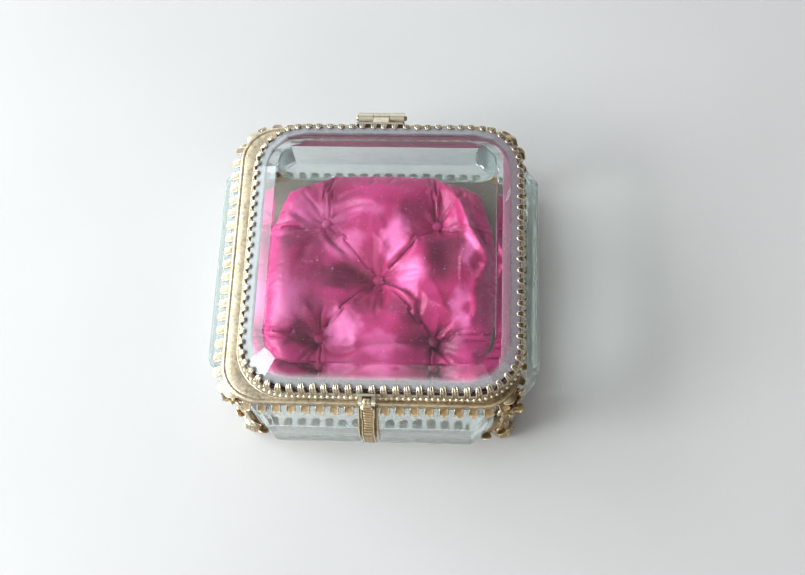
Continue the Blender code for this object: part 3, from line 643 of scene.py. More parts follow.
def shell(draft, grid_out, grid_in):
    """Closed thin body from two equal grids of points."""
    outer = [[draft.verts.new(p) for p in row] for row in grid_out]
    inner = [[draft.verts.new(p) for p in row] for row in grid_in]
    rows, columns = len(outer), len(outer[0])
    for i in range(rows - 1):
        for j in range(columns - 1):
            draft.faces.new((outer[i][j], outer[i][j + 1], outer[i + 1][j + 1], outer[i + 1][j]))
            draft.faces.new((inner[i][j], inner[i + 1][j], inner[i + 1][j + 1], inner[i][j + 1]))
    last = columns - 1
    for i in range(rows - 1):
        draft.faces.new((outer[i][0], outer[i + 1][0], inner[i + 1][0], inner[i][0]))
        draft.faces.new((outer[i][last], inner[i][last], inner[i + 1][last], outer[i + 1][last]))
    last = rows - 1
    for j in range(columns - 1):
        draft.faces.new((outer[0][j], inner[0][j], inner[0][j + 1], outer[0][j + 1]))
        draft.faces.new((outer[last][j], outer[last][j + 1], inner[last][j + 1], inner[last][j]))


# ---------------------------------------------------------------- cut glass
def ground_outline(half_x, half_y, radius, centre_x=0.0):
    """Rounded rectangle whose corners are ground in three straight chords."""
    points = []
    for side_x, side_y, first in ((1, -1, -90), (1, 1, 0), (-1, 1, 90), (-1, -1, 180)):
        for k in range(4):
            angle = math.radians(first + 90.0 * k / 3)
            points.append((centre_x + side_x * (half_x - radius) + radius * math.cos(angle),
                           side_y * (half_y - radius) + radius * math.sin(angle)))
    return points


def between(first, second, share):
    """Loop part of the way from one loop to another."""
    return [tuple(p[i] + (q[i] - p[i]) * share for i in range(3))
            for p, q in zip(first, second)]


def cut_plate(name, rows, material, body, replaces):
    """Glass plate from (rim value, loop) rows; rim is the grinding, 0 on the flat."""
    draft = bmesh.new()
    layer = draft.verts.layers.float.new("rim")
    loops = []
    for value, points in rows:
        loop = []
        for point in points:
            vert = draft.verts.new(point)
            vert[layer] = value
            loop.append(vert)
        loops.append(loop)
    skin(draft, loops)
    piece(name, draft, material, body, replaces, sharp=None, weld=False)


def lid_glass():
    half_x, half_y = half_span(lid_glass_box, X), half_span(lid_glass_box, Y)
    bottom, edge_top, top = lid_glass_box[0].z, 43.6, lid_glass_box[1].z

    def loop(loop_x, loop_y, radius, z):
        return [(x, y, z) for x, y in ground_outline(loop_x, loop_y, radius, LID_X)]

    shoulder = loop(half_x - 0.2, half_y - 0.2, 12.0, edge_top)
    facet = loop(29.3, 30.6, 7.5, top)
    cut_plate("lid_glass_cut", [
        (0.0, loop(32.4, 33.7, 9.4, bottom)),
        (0.2, loop(half_x - 0.3, half_y - 0.3, 11.9, bottom)),
        (0.2, loop(half_x, half_y, 12.2, bottom + 0.3)),
        (0.2, loop(half_x, half_y, 12.2, edge_top - 0.2)),
        (0.75, shoulder),
        (1.0, between(shoulder, facet, 0.25)),
        (0.50, between(shoulder, facet, 0.5)),
        (0.03, between(shoulder, facet, 0.965)),
        (0.0, loop(29.0, 30.3, 7.2, top))], LID_GLASS, "lid", ["lid_glass"])


def side_glass(name, out_x, out_y):
    """Panel whose bevelled face looks along (out_x, out_y)."""
    half = half_span(left_box, Y) if out_x else half_span(front_box, X)
    edge = SIDE_EDGE if out_x else FRONT_EDGE
    centre_z, half_z = middle(front_box, Z), half_span(front_box, Z)

    def loop(inset, radius, depth):
        out = edge + depth
        return [(out_x * out - out_y * across, out_y * out + out_x * across, centre_z + rise)
                for across, rise in ground_outline(half - inset, half_z - inset, radius)]

    shoulder = loop(0.18, 5.35, 0.0)
    facet = loop(BEVEL_WIDTH, 2.2, BEVEL_DEPTH)
    cut_plate(name + "_cut", [
        (0.2, loop(1.6, 4.2, -2.0)),
        (0.9, loop(0.25, 5.3, -2.0)),
        (1.0, loop(0.0, 5.5, -1.75)),
        (1.0, loop(0.0, 5.5, -0.18)),
        (1.0, shoulder),
        (0.7, between(shoulder, facet, 0.3)),
        (0.45, between(shoulder, facet, 0.6)),
        (0.35, between(shoulder, facet, 0.97)),
        (0.0, loop(5.75, 2.0, BEVEL_DEPTH))], SIDE_GLASS, "casket", [name])


lid_glass()
# LEDGE carries painted pink refraction on its upward faces
dress("lid_glass_seat", LEDGE)

# ---------------------------------------------------------------- lid band
PRONGS = 92
BEADS = 2 * PRONGS
PRONG_THICK = 0.36
# Strip the prongs and beads stand on: outward offset, z
BAND_PROFILE = [
    (-0.5, 38.72), (0.30, 38.72), (0.38, 38.80), (0.38, 38.92), (0.22, 39.02), (0.10, 39.25),
    (0.08, 39.55), (0.16, 39.78), (0.16, 39.95), (0.04, 40.08), (-0.02, 40.35), (-0.10, 40.42),
    (-0.5, 40.42)]
# Prong from foot to tip: outward offset, z, normal outward, normal up, half width, relief
PRONG_PATH = [
    (0.10, 39.70, 1.0, 0.0, 0.95, 1.0), (0.16, 40.2, 1.0, 0.0, 0.84, 1.0),
    (0.16, 40.7, 1.0, 0.0, 0.78, 1.0), (0.14, 42.0, 1.0, 0.0, 0.76, 1.0),
    (0.12, 43.1, 0.99, 0.1, 0.76, 1.0), (0.04, 43.70, 0.93, 0.37, 0.76, 1.0),
    (-0.22, 44.10, 0.72, 0.69, 0.76, 1.0), (-0.60, 44.32, 0.50, 0.87, 0.74, 1.0),
    (-1.00, 44.46, 0.36, 0.93, 0.68, 1.0), (-1.35, 44.54, 0.26, 0.96, 0.58, 0.8),
    (-1.58, 44.54, 0.1, 0.99, 0.42, 0.5), (-1.72, 44.46, -0.2, 0.98, 0.20, 0.2)]
# Across a prong: place in half widths, height
PRONG_SECTION = mirrored([(-1.0, -0.10), (-0.9, 0.05), (-0.72, 0.09), (-0.55, -0.02),
                          (-0.36, 0.0), (-0.18, 0.08), (0.0, 0.11)])


def lid_band():
    """Band of upright prongs folded over the lid glass, beaded along its foot."""
    outline = Outline(LID_HALF_X, LID_HALF_Y, LID_RADIUS, LID_X)
    pitch = outline.length / PRONGS
    rng = np.random.RandomState(7)
    draft = bmesh.new()
    ring(draft, outline, BAND_PROFILE, 368)
    for k in range(PRONGS):
        centre = (k + 0.5) * pitch + rng.uniform(-0.10, 0.10)
        lean = rng.uniform(-0.12, 0.12)
        shift = rng.uniform(-0.18, 0.10)
        outer, inner = [], []
        for i, (out, z, normal_out, normal_z, half, share) in enumerate(PRONG_PATH):
            out -= shift * max(0.0, (i - 5) / 6.0)
            row_out, row_in = [], []
            for across, relief in PRONG_SECTION:
                along = centre + across * half * 1.10 + lean * i / 11.0
                for row, rise in ((row_out, relief * share), (row_in, -PRONG_THICK)):
                    row.append(outline.point(along, out + rise * normal_out,
                                             z + rise * normal_z))
            outer.append(row_out)
            inner.append(row_in)
        shell(draft, outer, inner)
    for k in range(BEADS):
        along = (k + 0.25) * outline.length / BEADS
        ball(draft, outline.point(along, 0.26, 39.34), 0.56 + rng.uniform(-0.04, 0.04), 12, 8)
    piece("lid_band_reeded", draft, BAND, body="lid", replaces=["lid_band"])


lid_band()

# ---------------------------------------------------------------- body frames
FRAME_LINE = Outline(RIM_HALF_X, RIM_HALF_Y, RIM_RADIUS)
GAP_RIGHT, GAP_LEFT = 4.2, 5.0         # first tab centres either side of the hasp
TAB_PITCHES = 76
TAB_PITCH = (FRAME_LINE.length - GAP_RIGHT - GAP_LEFT) / TAB_PITCHES
TAB_HALF = 1.02
ARCH_TOP, SLOT_START = 0.70, 1.30      # slot arch along the strip: crown, springing
TAB_TIP, SHORT_TAB_TIP = 3.70, 2.45
TAB_ROUND = 0.85                       # length of a tab's rounded end
TAB_ACROSS = [-1.0, -0.93, -0.80, -0.58, -0.3, 0.0, 0.3, 0.58, 0.80, 0.93, 1.0]
# Plates: outward offset, z
RIM_PROFILE = [
    (-6.35, 37.62), (-0.15, 37.62), (0.02, 37.72), (0.08, 37.95), (0.04, 38.16), (-0.12, 38.27),
    (-0.5, 38.30), (-0.8, 38.30), (-0.95, 38.22), (-1.1, 38.30), (-6.1, 38.30), (-6.35, 38.2)]
BASE_PROFILE = [(-8.3, 7.22), (-0.5, 7.22), (-0.1, 7.28), (0.05, 7.45), (0.05, 7.65),
                (-0.1, 7.85), (-8.2, 7.88), (-8.3, 7.8)]


def strip_columns():
    """Columns over one pitch: place along, reach of the strip, whether on the tab."""
    slot_half = 0.5 * TAB_PITCH - TAB_HALF
    columns = []
    for share in (0.0, 0.35, 0.68, 0.90):
        arch = 1 - math.sqrt(1 - share ** 2.6)
        columns.append((-0.5 * TAB_PITCH + share * slot_half,
                        ARCH_TOP + (SLOT_START - ARCH_TOP) * arch, False))
    return mirrored(columns + [(across * TAB_HALF, SLOT_START, True)
                               for across in TAB_ACROSS[:6]])


def tab_strip(name, up, material, replaces):
    """Pierced strip folded over the glass bevels: round-ended tabs, arched slots."""
    draft = bmesh.new()
    sign = 1.0 if up else -1.0
    start = BASE_BOTTOM + 0.15 if up else RIM_TOP - 0.15
    edge = PANEL_BOTTOM if up else PANEL_TOP

    def surface(along, reach, bulge):
        """Point at a reach down the strip; bulge is off the surface."""
        _, _, out_x, out_y = FRAME_LINE.at(along)
        inset = 0.7 * abs(out_y) ** 2 + 0.1 * abs(out_x) ** 2
        # knots: reach, outward offset, z; short upright, then along the bevel
        knots = ((0.0, 0.02, start), (0.30, 0.26, start + sign * 0.18),
                 (0.95, 0.34, start + sign * 0.85),
                 (TAB_TIP, 3.05 - inset, edge + sign * 1.70))
        normals = ((0.7, -0.7 * sign), (1.0, 0.0), (0.71, -0.71 * sign))
        k = 0 if reach <= 0.30 else 1 if reach <= 0.95 else 2
        (reach0, out0, z0), (reach1, out1, z1) = knots[k:k + 2]
        share = (reach - reach0) / (reach1 - reach0)
        return FRAME_LINE.point(along, out0 + share * (out1 - out0) + normals[k][0] * bulge,
                                z0 + share * (z1 - z0) + normals[k][1] * bulge)

    columns = strip_columns()
    for k in range(TAB_PITCHES + 1):
        centre = GAP_RIGHT + k * TAB_PITCH
        x, y, _, _ = FRAME_LINE.at(centre)
        grid = []
        for offset, end, on_tab in columns:
            column = []
            for share in (0.0, 0.10, 0.22, 0.42, 0.70, 1.0):
                lip = 0.10 if share == 1.0 and not on_tab else 0.0
                column.append(draft.verts.new(surface(centre + offset, share * end, lip)))
            grid.append(column)
        for here, ahead in zip(grid, grid[1:]):
            for j in range(5):
                draft.faces.new((here[j], here[j + 1], ahead[j + 1], ahead[j]))
        # no tabs in the corners, nor on the rim under the hasp and the hinge
        hardware = not up and abs(x) < (3.4 if y < 0 else 7.4)
        if FRAME_LINE.corner_angle(centre) > 34.0 or hardware:
            continue
        # the tab itself with a raised border and a dished middle
        tip = SHORT_TAB_TIP if x > RIM_HALF_X - 0.5 and not up else TAB_TIP
        rows = [[column[5] for column in grid[4:-4]]]
        for share in (0.12, 0.35, 0.6, 0.80, 0.92, 1.0):
            row = []
            for across in TAB_ACROSS:
                end = tip - TAB_ROUND + TAB_ROUND * math.sqrt(1 - abs(across) ** 2.2)
                border = max(abs(across) ** 6, share ** 12)
                row.append(draft.verts.new(surface(
                    centre + across * TAB_HALF, SLOT_START + share * (end - SLOT_START),
                    0.15 * border - 0.05 * (1 - across ** 2))))
            rows.append(row)
        for here, ahead in zip(rows, rows[1:]):
            for i in range(len(TAB_ACROSS) - 1):
                draft.faces.new((here[i], ahead[i], ahead[i + 1], here[i + 1]))
    piece(name, draft, material, replaces=replaces, sharp=40.0, solid=0.32)


def frame_plate(name, profile, material, replaces):
    draft = bmesh.new()
    ring(draft, FRAME_LINE, profile, 300)
    piece(name, draft, material, replaces=replaces)


def shelf_moulding():
    """Fine raised line on the rim's shelf, following the lid and tapering at its ends."""
    outline = Outline(LID_HALF_X + 1.15, LID_HALF_Y + 0.75, LID_RADIUS + 0.75, LID_X)
    first, last = 0.505 * outline.length, 0.955 * outline.length
    steps = 180
    points, radii = [], []
    for i in range(steps + 1):
        points.append(outline.point(first + (last - first) * i / steps, 0.0, 38.22))
        radii.append(0.22 * min(1.0, 6 * i / steps + 0.15, 6 * (steps - i) / steps + 0.15))
    draft = bmesh.new()
    tube(draft, points, radii, 8, UP)
    piece("rim_shelf_moulding", draft, RIM, sharp=60.0)


frame_plate("upper_rim_plate", RIM_PROFILE, RIM, ["upper_rim"])
tab_strip("upper_rim_tabs", False, GILT, ["upper_rim"])
# the base frame takes the shaded gilt: painted shade
frame_plate("base_frame_plate", BASE_PROFILE, GILT_SHADED, ["base_frame"])
tab_strip("base_frame_tabs", True, GILT_SHADED, ["base_frame"])
shelf_moulding()

for name, out_x, out_y in (("front_glass", 0, -1), ("back_glass", 0, 1),
                           ("left_glass", -1, 0), ("right_glass", 1, 0)):
    side_glass(name, out_x, out_y)
dress("floor_glass", FLOOR_GLASS)
dress("cushion_board", CARD)

# ---------------------------------------------------------------- corners, feet
# Corner post: radius, z
POST_PROFILE = [
    (1.0, 8.2), (1.35, 8.5), (1.5, 9.0), (1.35, 9.5), (0.85, 9.9), (1.1, 10.3), (1.15, 10.7),
    (0.9, 11.1), (0.85, 12.4), (0.82, 20.4), (0.95, 21.0), (1.3, 21.4), (1.45, 21.9),
    (1.3, 22.4), (0.95, 22.8), (0.82, 23.4), (0.82, 31.0), (0.95, 31.7), (1.25, 32.1),
    (1.4, 32.5), (1.1, 33.1), (1.0, 34.0), (1.5, 35.4), (2.1, 36.6), (2.2, 37.1), (1.9, 37.3)]
# Leaves: angle from outward in degrees, reach, width, rise
CAPITAL_LEAVES = [(0, 3.1, 2.0, 2.3), (46, 3.2, 1.8, 2.5), (-46, 3.2, 1.8, 2.5),
                  (84, 3.6, 1.4, 2.8), (-84, 3.6, 1.4, 2.8)]
FOOT_LEAVES = [(0, 0.9, 1.0, -3.6), (62, 1.1, 0.9, -3.4), (-62, 1.1, 0.9, -3.4)]
# Scrolls beside the post: outward, sideways, z, size, turns, bar radius, winding
SCROLLS = [(1.2, 3.3, 35.2, 1.9, 1.15, 0.50, 1), (0.8, 2.3, 31.3, 1.5, 1.1, 0.42, -1),
           (0.8, 2.4, 11.2, 1.5, 1.1, 0.42, 1), (0.7, 1.9, 21.9, 1.1, 1.05, 0.34, 1)]
# Bowed bars beside the post: outward, sideways, z
BOWS = [[(0.6, 1.0, 12.6), (0.9, 2.5, 14.6), (0.8, 2.1, 18.2), (0.6, 0.9, 20.6)],
        [(0.6, 0.9, 23.2), (0.9, 2.2, 25.4), (0.9, 2.4, 28.4), (0.7, 1.1, 30.8)]]
# Ball foot: radius, z
FOOT_PROFILE = [
    (1.3, 0.0), (1.7, 0.05), (2.25, 0.35), (2.72, 0.95), (2.95, 1.65), (2.92, 2.35), (2.62, 3.0),
    (2.1, 3.5), (1.7, 3.75), (1.55, 3.95), (1.75, 4.1), (1.95, 4.25), (1.85, 4.42), (1.62, 4.5),
    (1.8, 4.75), (2.25, 5.15), (2.42, 5.55), (2.3, 5.95), (1.95, 6.2), (2.15, 6.35), (2.3, 6.5),
    (2.3, 6.75), (2.1, 6.88)]


def leaf(draft, base, tip, out, width, curl, thick=0.35, veins=0.12):
    """Acanthus lobe: a cupped leaf with a midrib from base to tip."""
    out = out.normalized()
    reach = tip - base
    ahead = reach.normalized()
    side = reach.cross(out).normalized()
    rows, columns = 14, 9
    front, back = [], []
    for i in range(rows):
        t = i / (rows - 1)
        half = width * (0.35 + 0.75 * math.sin(math.pi * (0.10 + 0.80 * t)))
        half *= 1.0 + 0.07 * math.cos(t * math.pi * 6)
        if t > 0.55:
            half *= math.sqrt(max(0.03, 1 - ((t - 0.55) / 0.455) ** 2))
        centre = base + reach * t + out * curl * math.sin(math.pi * t * 0.9)
        if t > 0.70:
            centre += out * curl * (t - 0.70) - ahead * (t - 0.70) ** 2 * 3.5
        row_front, row_back = [], []
        for j in range(columns):
            across = 2 * j / (columns - 1) - 1
            cup = -0.45 * width * across * across + 0.22 * math.exp(-(across / 0.18) ** 2)
            cup += veins * math.cos(across * math.pi * 3)
            point = centre + side * across * half + out * cup
            row_front.append(point + out * thick * 0.5)
            row_back.append(point - out * thick * 0.5)
        front.append(row_front)
        back.append(row_back)
    shell(draft, front, back)


def scroll(draft, centre, sideways, size, turns, radius, winding):
    """Upright volute: a tapering bar wound towards a small eye."""
    points, radii = [], []
    steps = int(26 * turns)
    for i in range(steps + 1):
        share = i / steps
        angle = math.pi + winding * math.tau * turns * share
        swing = size * (1 - 0.82 * share)
        points.append(centre + sideways * (swing * math.cos(angle))
                      + UP * (swing * math.sin(angle)))
        radii.append(radius * (1.0 - 0.35 * share))
    tube(draft, points, radii, 8)
    ball(draft, points[-1], radius * 1.25, 10, 7)


def corner_axes(side_x, side_y):
    """Outward diagonal, and the level direction across it."""
    return (Vector((side_x, side_y, 0)).normalized(),
            Vector((1.0, -side_x * side_y, 0)).normalized())


def swung(outward, sideways, degrees):
    angle = math.radians(degrees)
    return outward * math.cos(angle) + sideways * math.sin(angle)


def casting(label, side_x, side_y):
    """Openwork corner: reeded stem, leafy capital and foot, side scrolls."""
    draft = bmesh.new()
    outward, sideways = corner_axes(side_x, side_y)
    axis = Vector((side_x * POST_X, side_y * POST_Y, 0))
    profile = []
    for (radius0, z0), (radius1, z1) in zip(POST_PROFILE, POST_PROFILE[1:]):
        count = max(1, int((z1 - z0) / 0.8))
        for i in range(count):
            profile.append((radius0 + (radius1 - radius0) * i / count,
                            z0 + (z1 - z0) * i / count))
    profile.append(POST_PROFILE[-1])
    turned(draft, profile, 36, axis.x, axis.y, flute=0.16, flutes=12, zone=(11.6, 31.2))

    def leaves(table, z, shorten, lean_out, lean_up, curl):
        root = axis + UP * z
        for degrees, reach, width, rise in table:
            away = swung(outward, sideways, degrees)
            leaf(draft, root + away * 0.5, root + away * (reach * shorten) + UP * rise,
                 away * lean_out + UP * lean_up, width, curl)

    # the capital spreads under the rim, less far at the back
    leaves(CAPITAL_LEAVES, 33.4, 1.0 if side_y < 0 else 0.62, 0.75, 0.35, 0.7)
    for hand in (-1, 1):
        for out, aside, z, *winding in SCROLLS:
            scroll(draft, axis + outward * out + sideways * hand * aside + UP * z,
                   sideways * hand, *winding)
        for bow in BOWS:
            points = [axis + outward * out + sideways * hand * aside + UP * z
                      for out, aside, z in bow]
            tube(draft, spline(points, 7), 0.30, 7)
    leaves(FOOT_LEAVES, 12.8, 1.0, 0.8, 0.25, 0.45)
    for out, z, radius in ((2.3, 34.4, 0.62), (1.6, 22.0, 0.5)):
        ball(draft, axis + outward * out + UP * z, radius, 12, 8)
    # right-hand castings take the shaded gilt: painted shade
    piece("corner_casting_" + label, draft, GILT if side_x < 0 else GILT_SHADED,
          replaces=["corner_post_" + label], sharp=55.0)


def foot(label, side_x, side_y):
    """Turned ball foot with curled leaves laid over its outer side."""
    draft = bmesh.new()
    x, y = side_x * POST_X, side_y * POST_Y
    turned(draft, FOOT_PROFILE, 40, x, y)
    for degrees in (-48, 0, 48):
        away = swung(*corner_axes(side_x, side_y), degrees)
        leaf(draft, Vector((x, y, 5.6)) + away * 1.9, Vector((x, y, 2.1)) + away * 3.0,
             away + UP * 0.3, width=0.75, curl=0.3, thick=0.25, veins=0.06)
    piece("foot_turned_" + label, draft, GILT, replaces=["foot_" + label])


for label, side_x, side_y in (("front_left", -1, -1), ("front_right", 1, -1),
                              ("back_left", -1, 1), ("back_right", 1, 1)):
    casting(label, side_x, side_y)
    foot(label, side_x, side_y)

# ---------------------------------------------------------------- kept hardware
# BAND paints shade on faces that look inwards
for name, material in (("body_hinge_leaf", BAND), ("lid_hinge_leaf", BAND), ("hinge_pin", AGED),
                       ("hasp_bracket", BAND), ("hasp_pin", AGED), ("catch_stud", GILT)):
    dress(name, material)
    if material is BAND:
        bevel = NODES[name].modifiers.new("soft_edges", 'BEVEL')
        bevel.width = 0.00012
        bevel.segments = 2
        bevel.limit_method = 'ANGLE'
        bevel.angle_limit = math.radians(40)

# ---------------------------------------------------------------- hasp, keeper
PIVOT_OUT, PIVOT_Z = 39.4, 42.2        # hasp knuckle axis
KNUCKLE_HALF = 0.95
KEEPER_HALF = 2.6
# Across the strap: place in half widths, height (None on the ribs)
HASP_SECTION = mirrored([(-1.0, -0.12), (-0.97, 0.10), (-0.86, 0.30), (-0.76, 0.26),
                         (-0.70, 0.0), (-0.62, None), (-0.3, None), (0.0, None)])
# Knuckle: x, radius
KNUCKLE = [(-KNUCKLE_HALF, 0.55), (-KNUCKLE_HALF, 0.9), (-KNUCKLE_HALF + 0.12, 1.0), (-0.3, 1.0),
           (-0.25, 0.92), (0.25, 0.92), (0.3, 1.0), (KNUCKLE_HALF - 0.12, 1.0),
           (KNUCKLE_HALF, 0.9), (KNUCKLE_HALF, 0.55)]
# Across the keeper: place in half widths, height
KEEPER_SECTION = mirrored([(-1.0, 0.2), (-1.0, 1.35), (-0.97, 1.55), (-0.90, 1.62),
                           (-0.84, 1.55), (-0.82, 1.35), (-0.82, 0.62), (-0.5, 0.58),
                           (0.0, 0.58)])


def front_path(lift, z_end):
    """(outward, z) down the front glass's top bevel and flat, lifted off the glass."""
    run = math.hypot(BEVEL_DEPTH, BEVEL_WIDTH)
    out = FRONT_EDGE + BEVEL_WIDTH / run * lift
    z = PANEL_TOP + BEVEL_DEPTH / run * lift
    face = FRONT_OUT + lift
    return [(out, z), (face, z - BEVEL_WIDTH / BEVEL_DEPTH * (face - out)), (face, z_end)]


def walk(route, step):
    """Even stations along a polyline: (outward, z, normal out, normal z, distance)."""
    sizes = [math.dist(start, end) for start, end in zip(route, route[1:])]
    length = sum(sizes)
    count = int(length / step)
    points = []
    for i in range(count + 1):
        distance = length * i / count
        k, left = 0, distance
        while k < len(sizes) - 1 and left > sizes[k]:
            left -= sizes[k]
            k += 1
        (out0, z0), (out1, z1) = route[k], route[k + 1]
        share = min(1.0, left / sizes[k])
        points.append((out0 + (out1 - out0) * share, z0 + (z1 - z0) * share, distance))
    # normals from neighbours 0.5 away round off the bends
    reach = int(0.5 / step)
    stations = []
    for i, (out, z, distance) in enumerate(points):
        before, after = points[max(0, i - reach)], points[min(count, i + reach)]
        run_out, run_z = after[0] - before[0], after[1] - before[1]
        run = math.hypot(run_out, run_z)
        stations.append((out, z, -run_z / run, run_out / run, distance))
    return stations


def hasp():
    """Ribbed strap bent over the bevel, wider above, with its knuckle."""
    bend, *flat = front_path(1.25, 25.0)
    stations = walk([(PIVOT_OUT + 0.30, PIVOT_Z - 0.9), (bend[0] + 0.12, bend[1] + 0.25), *flat],
                    0.075)
    total = stations[-1][4]
    front, back = [], []
    for out, z, normal_out, normal_z, distance in stations:
        upper = z > 35.9
        half = 1.85 if upper else 1.62
        if distance < 1.6:
            half = 0.95 + (half - 0.95) * max(0.0, (distance - 0.9) / 0.7)
        rib = (0.5 + 0.5 * math.cos(math.tau * distance / 0.78)) ** 0.85
        # relief and thickness are less beside the knuckle; relief dies at the end
        relief = (1.0 if distance > 1.2 else 0.4) * min(1.0, (total - distance) / 0.25)
        thick = (1.02 if upper else 0.90) * (1.0 if distance > 1.2 else 0.75)
        row_front, row_back = [], []
        for across, height in HASP_SECTION:
            if height is None:
                height = 0.36 * rib - 0.10
            rise = thick + height * relief
            row_front.append((across * half, -(out + normal_out * rise), z + normal_z * rise))
            row_back.append((across * half, -out, z))
        front.append(row_front)
        back.append(row_back)
    draft = bmesh.new()
    shell(draft, front, back)
    loops = [[draft.verts.new((x, -PIVOT_OUT + radius * math.cos(math.tau * k / 28),
                               PIVOT_Z + radius * math.sin(math.tau * k / 28)))
              for k in range(28)] for x, radius in KNUCKLE]
    skin(draft, loops + loops[:1], caps=False)
    piece("hasp_ribbed", draft, GILT, body="hasp", replaces=["hasp"])


def keeper():
    """Channel with raised rails that lies on the glass behind the hasp."""
    front, back = [], []
    for out, z, normal_out, normal_z, _ in walk(front_path(0.35, 26.0), 0.25)[2:]:
        front.append([(across * KEEPER_HALF, -(out + normal_out * rise), z + normal_z * rise)
                      for across, rise in KEEPER_SECTION])
        back.append([(across * KEEPER_HALF, -(out + normal_out * 0.02), z + normal_z * 0.02)
                     for across, _ in KEEPER_SECTION])
    draft = bmesh.new()
    shell(draft, front, back)
    piece("hasp_keeper_railed", draft, GILT, replaces=["hasp_keeper"])


hasp()
keeper()

# ---------------------------------------------------------------- cushion
# Buttons: label, x, y
TUFTS = [("centre", 0.0, 0.0), ("front_left", -15.5, -17.0), ("front_right", 15.5, -17.0),
         ("back_left", -15.5, 17.0), ("back_right", 15.5, 17.0)]
SEAM_Z = 16.5
CROWN = 0.82 * 9.6                     # rise of the top before it is blown up
TOP_LIMIT = 27.4
CELLS = 84                             # cells per side of the simulated top
# Below the seam: scale of the outline, z
SKIRT = [(0.998, 15.6), (0.99, 14.6), (0.975, 13.5), (0.95, 12.5), (0.92, 11.9)]
# Folds: height, width, height of the ridge beside it, its side (1 left of the
# line's run, -1 right), points (x, y)
FOLDS = [
    (-1.5, 0.75, 0.9, -1, [(-16.0, 15.6), (-14.6, 11.4), (-11.6, 7.6), (-7.4, 5.0)]),
    (-1.4, 2.1, 0, 0, [(-19.0, 1.2), (-12.2, 2.9), (-6.2, 2.7), (-1.6, 1.0)]),
    (-1.3, 0.6, 0.8, 1, [(1.8, 2.4), (4.8, 5.0), (8.1, 7.9), (11.0, 11.4)]),
    (-1.6, 0.65, 1.0, -1, [(1.2, -0.6), (4.6, -2.4), (7.9, -4.8), (11.6, -7.8)]),
    (-1.2, 0.6, 0.8, 1, [(-14.2, -8.8), (-15.4, -12.2), (-15.0, -15.4), (-15.6, -17.6)]),
    (-1.3, 1.3, 0, 0, [(-26.5, -15.4), (-22.0, -16.8), (-16.5, -17.4)]),
    (-1.4, 1.1, 0, 0, [(17.6, 25.4), (16.3, 19.8), (15.5, 17.4)]),
    (-1.5, 3.0, 0, 0, [(15.5, 17.0), (17.6, 11.5), (18.4, 4.0), (18.0, -3.0)]),
    (-2.0, 0.8, 0, 0, [(27.0, 15.4), (30.2, 10.2), (31.6, 6.6)]),
    (-0.8, 0.7, 0, 0, [(-14.0, 19.6), (-8.4, 20.8), (-2.1, 21.3)]),
    (-0.7, 0.8, 0, 0, [(-14.4, 22.6), (-8.8, 24.8), (-3.5, 25.6)]),
    (-0.9, 0.7, 0, 0, [(-31.0, 13.6), (-28.0, 12.2), (-24.4, 12.9)]),
    (-1.1, 0.9, 0, 0, [(-26.0, 20.4), (-21.2, 17.4), (-16.5, 16.6)]),
    (-1.0, 0.9, 0, 0, [(-15.0, -20.0), (-8.1, -22.0), (-1.1, -19.8), (7.0, -19.2),
                       (15.0, -17.8)]),
    (-0.8, 1.0, 0, 0, [(-0.6, -1.4), (-3.6, -5.4), (-5.4, -9.6)]),
    (-0.7, 1.2, 0, 0, [(0.4, -1.6), (1.4, -6.4), (3.0, -11.0)]),
    (-1.0, 1.1, 0, 0, [(15.5, -17.0), (20.2, -20.4), (26.0, -23.0)]),
    (-0.9, 0.9, 0, 0, [(15.5, -17.0), (17.2, -22.6), (17.6, -28.0)]),
    (-0.9, 0.9, 0, 0, [(-15.5, -17.0), (-17.4, -22.4), (-18.6, -28.6)]),
    (-0.8, 1.2, 0, 0, [(-15.5, 17.0), (-19.6, 9.0), (-22.0, 2.0)]),
    (-1.0, 0.9, 0, 0, [(12.8, -13.6), (11.8, -9.8), (12.6, -4.4)]),
    (1.3, 1.0, 0, 0, [(-1.4, 16.6), (0.6, 10.4), (2.4, 4.0)]),
    (2.3, 1.15, 0, 0, [(17.6, 29.0), (21.8, 23.2), (24.6, 15.2), (28.2, 9.0), (30.4, 6.2),
                       (28.4, 1.3), (26.2, -4.6)]),
    (1.5, 1.4, 0, 0, [(11.6, -0.6), (14.8, -5.6), (19.0, -10.4), (25.6, -12.8)]),
    (1.3, 1.2, 0, 0, [(-17.8, 31.0), (-16.4, 26.0), (-15.6, 19.6)]),
    (1.2, 1.0, 0, 0, [(-20.0, -9.0), (-17.4, -12.4), (-16.6, -15.2)]),
    (1.2, 1.6, 0, 0, [(-11.5, -13.0), (-9.4, -17.4), (-11.0, -20.6)]),
    (1.1, 1.2, 0, 0, [(26.4, -4.0), (26.8, -10.0), (24.0, -14.0)]),
    (0.8, 0.8, 0, 0, [(4.0, -3.6), (7.4, -6.6), (10.2, -9.4)]),
]


def cushion_xy(across, along):
    """Square -1..1 laid on the cushion's bowed outline."""
    return (CUSHION_X * across * math.sqrt(1 - 0.30 * along * along),
            CUSHION_Y * along * math.sqrt(1 - 0.30 * across * across))


def pillow(top, cells, pleated):
    """Closed bmesh of a cushion from the grid points of its top."""
    draft = bmesh.new()
    verts = [draft.verts.new(p) for p in top]
    stride = cells + 1
    for j in range(cells):
        for i in range(cells):
            k = j * stride + i
            draft.faces.new((verts[k], verts[k + 1], verts[k + stride + 1], verts[k + stride]))
    steps = range(cells)
    border = ([i for i in steps] + [j * stride + cells for j in steps]
              + [cells * stride + cells - i for i in steps] + [(cells - j) * stride for j in steps])
    loops = [[verts[k] for k in border]]
    for scale, z in SKIRT:
        loop = []
        for k, vert in enumerate(loops[0]):
            factor = 1.0
            if pleated:
                pleat = 0.12 * math.sin(k * math.tau / 7.0) + 0.08 * math.sin(k * 0.37)
                factor += pleat / 33.0 * min(1.0, (SEAM_Z - z) / 2)
            loop.append(draft.verts.new((vert.co.x * scale * factor,
                                         vert.co.y * scale * factor, z)))
        loops.append(loop)
    skin(draft, loops, caps=False)
    draft.faces.new(loops[-1])
    return draft


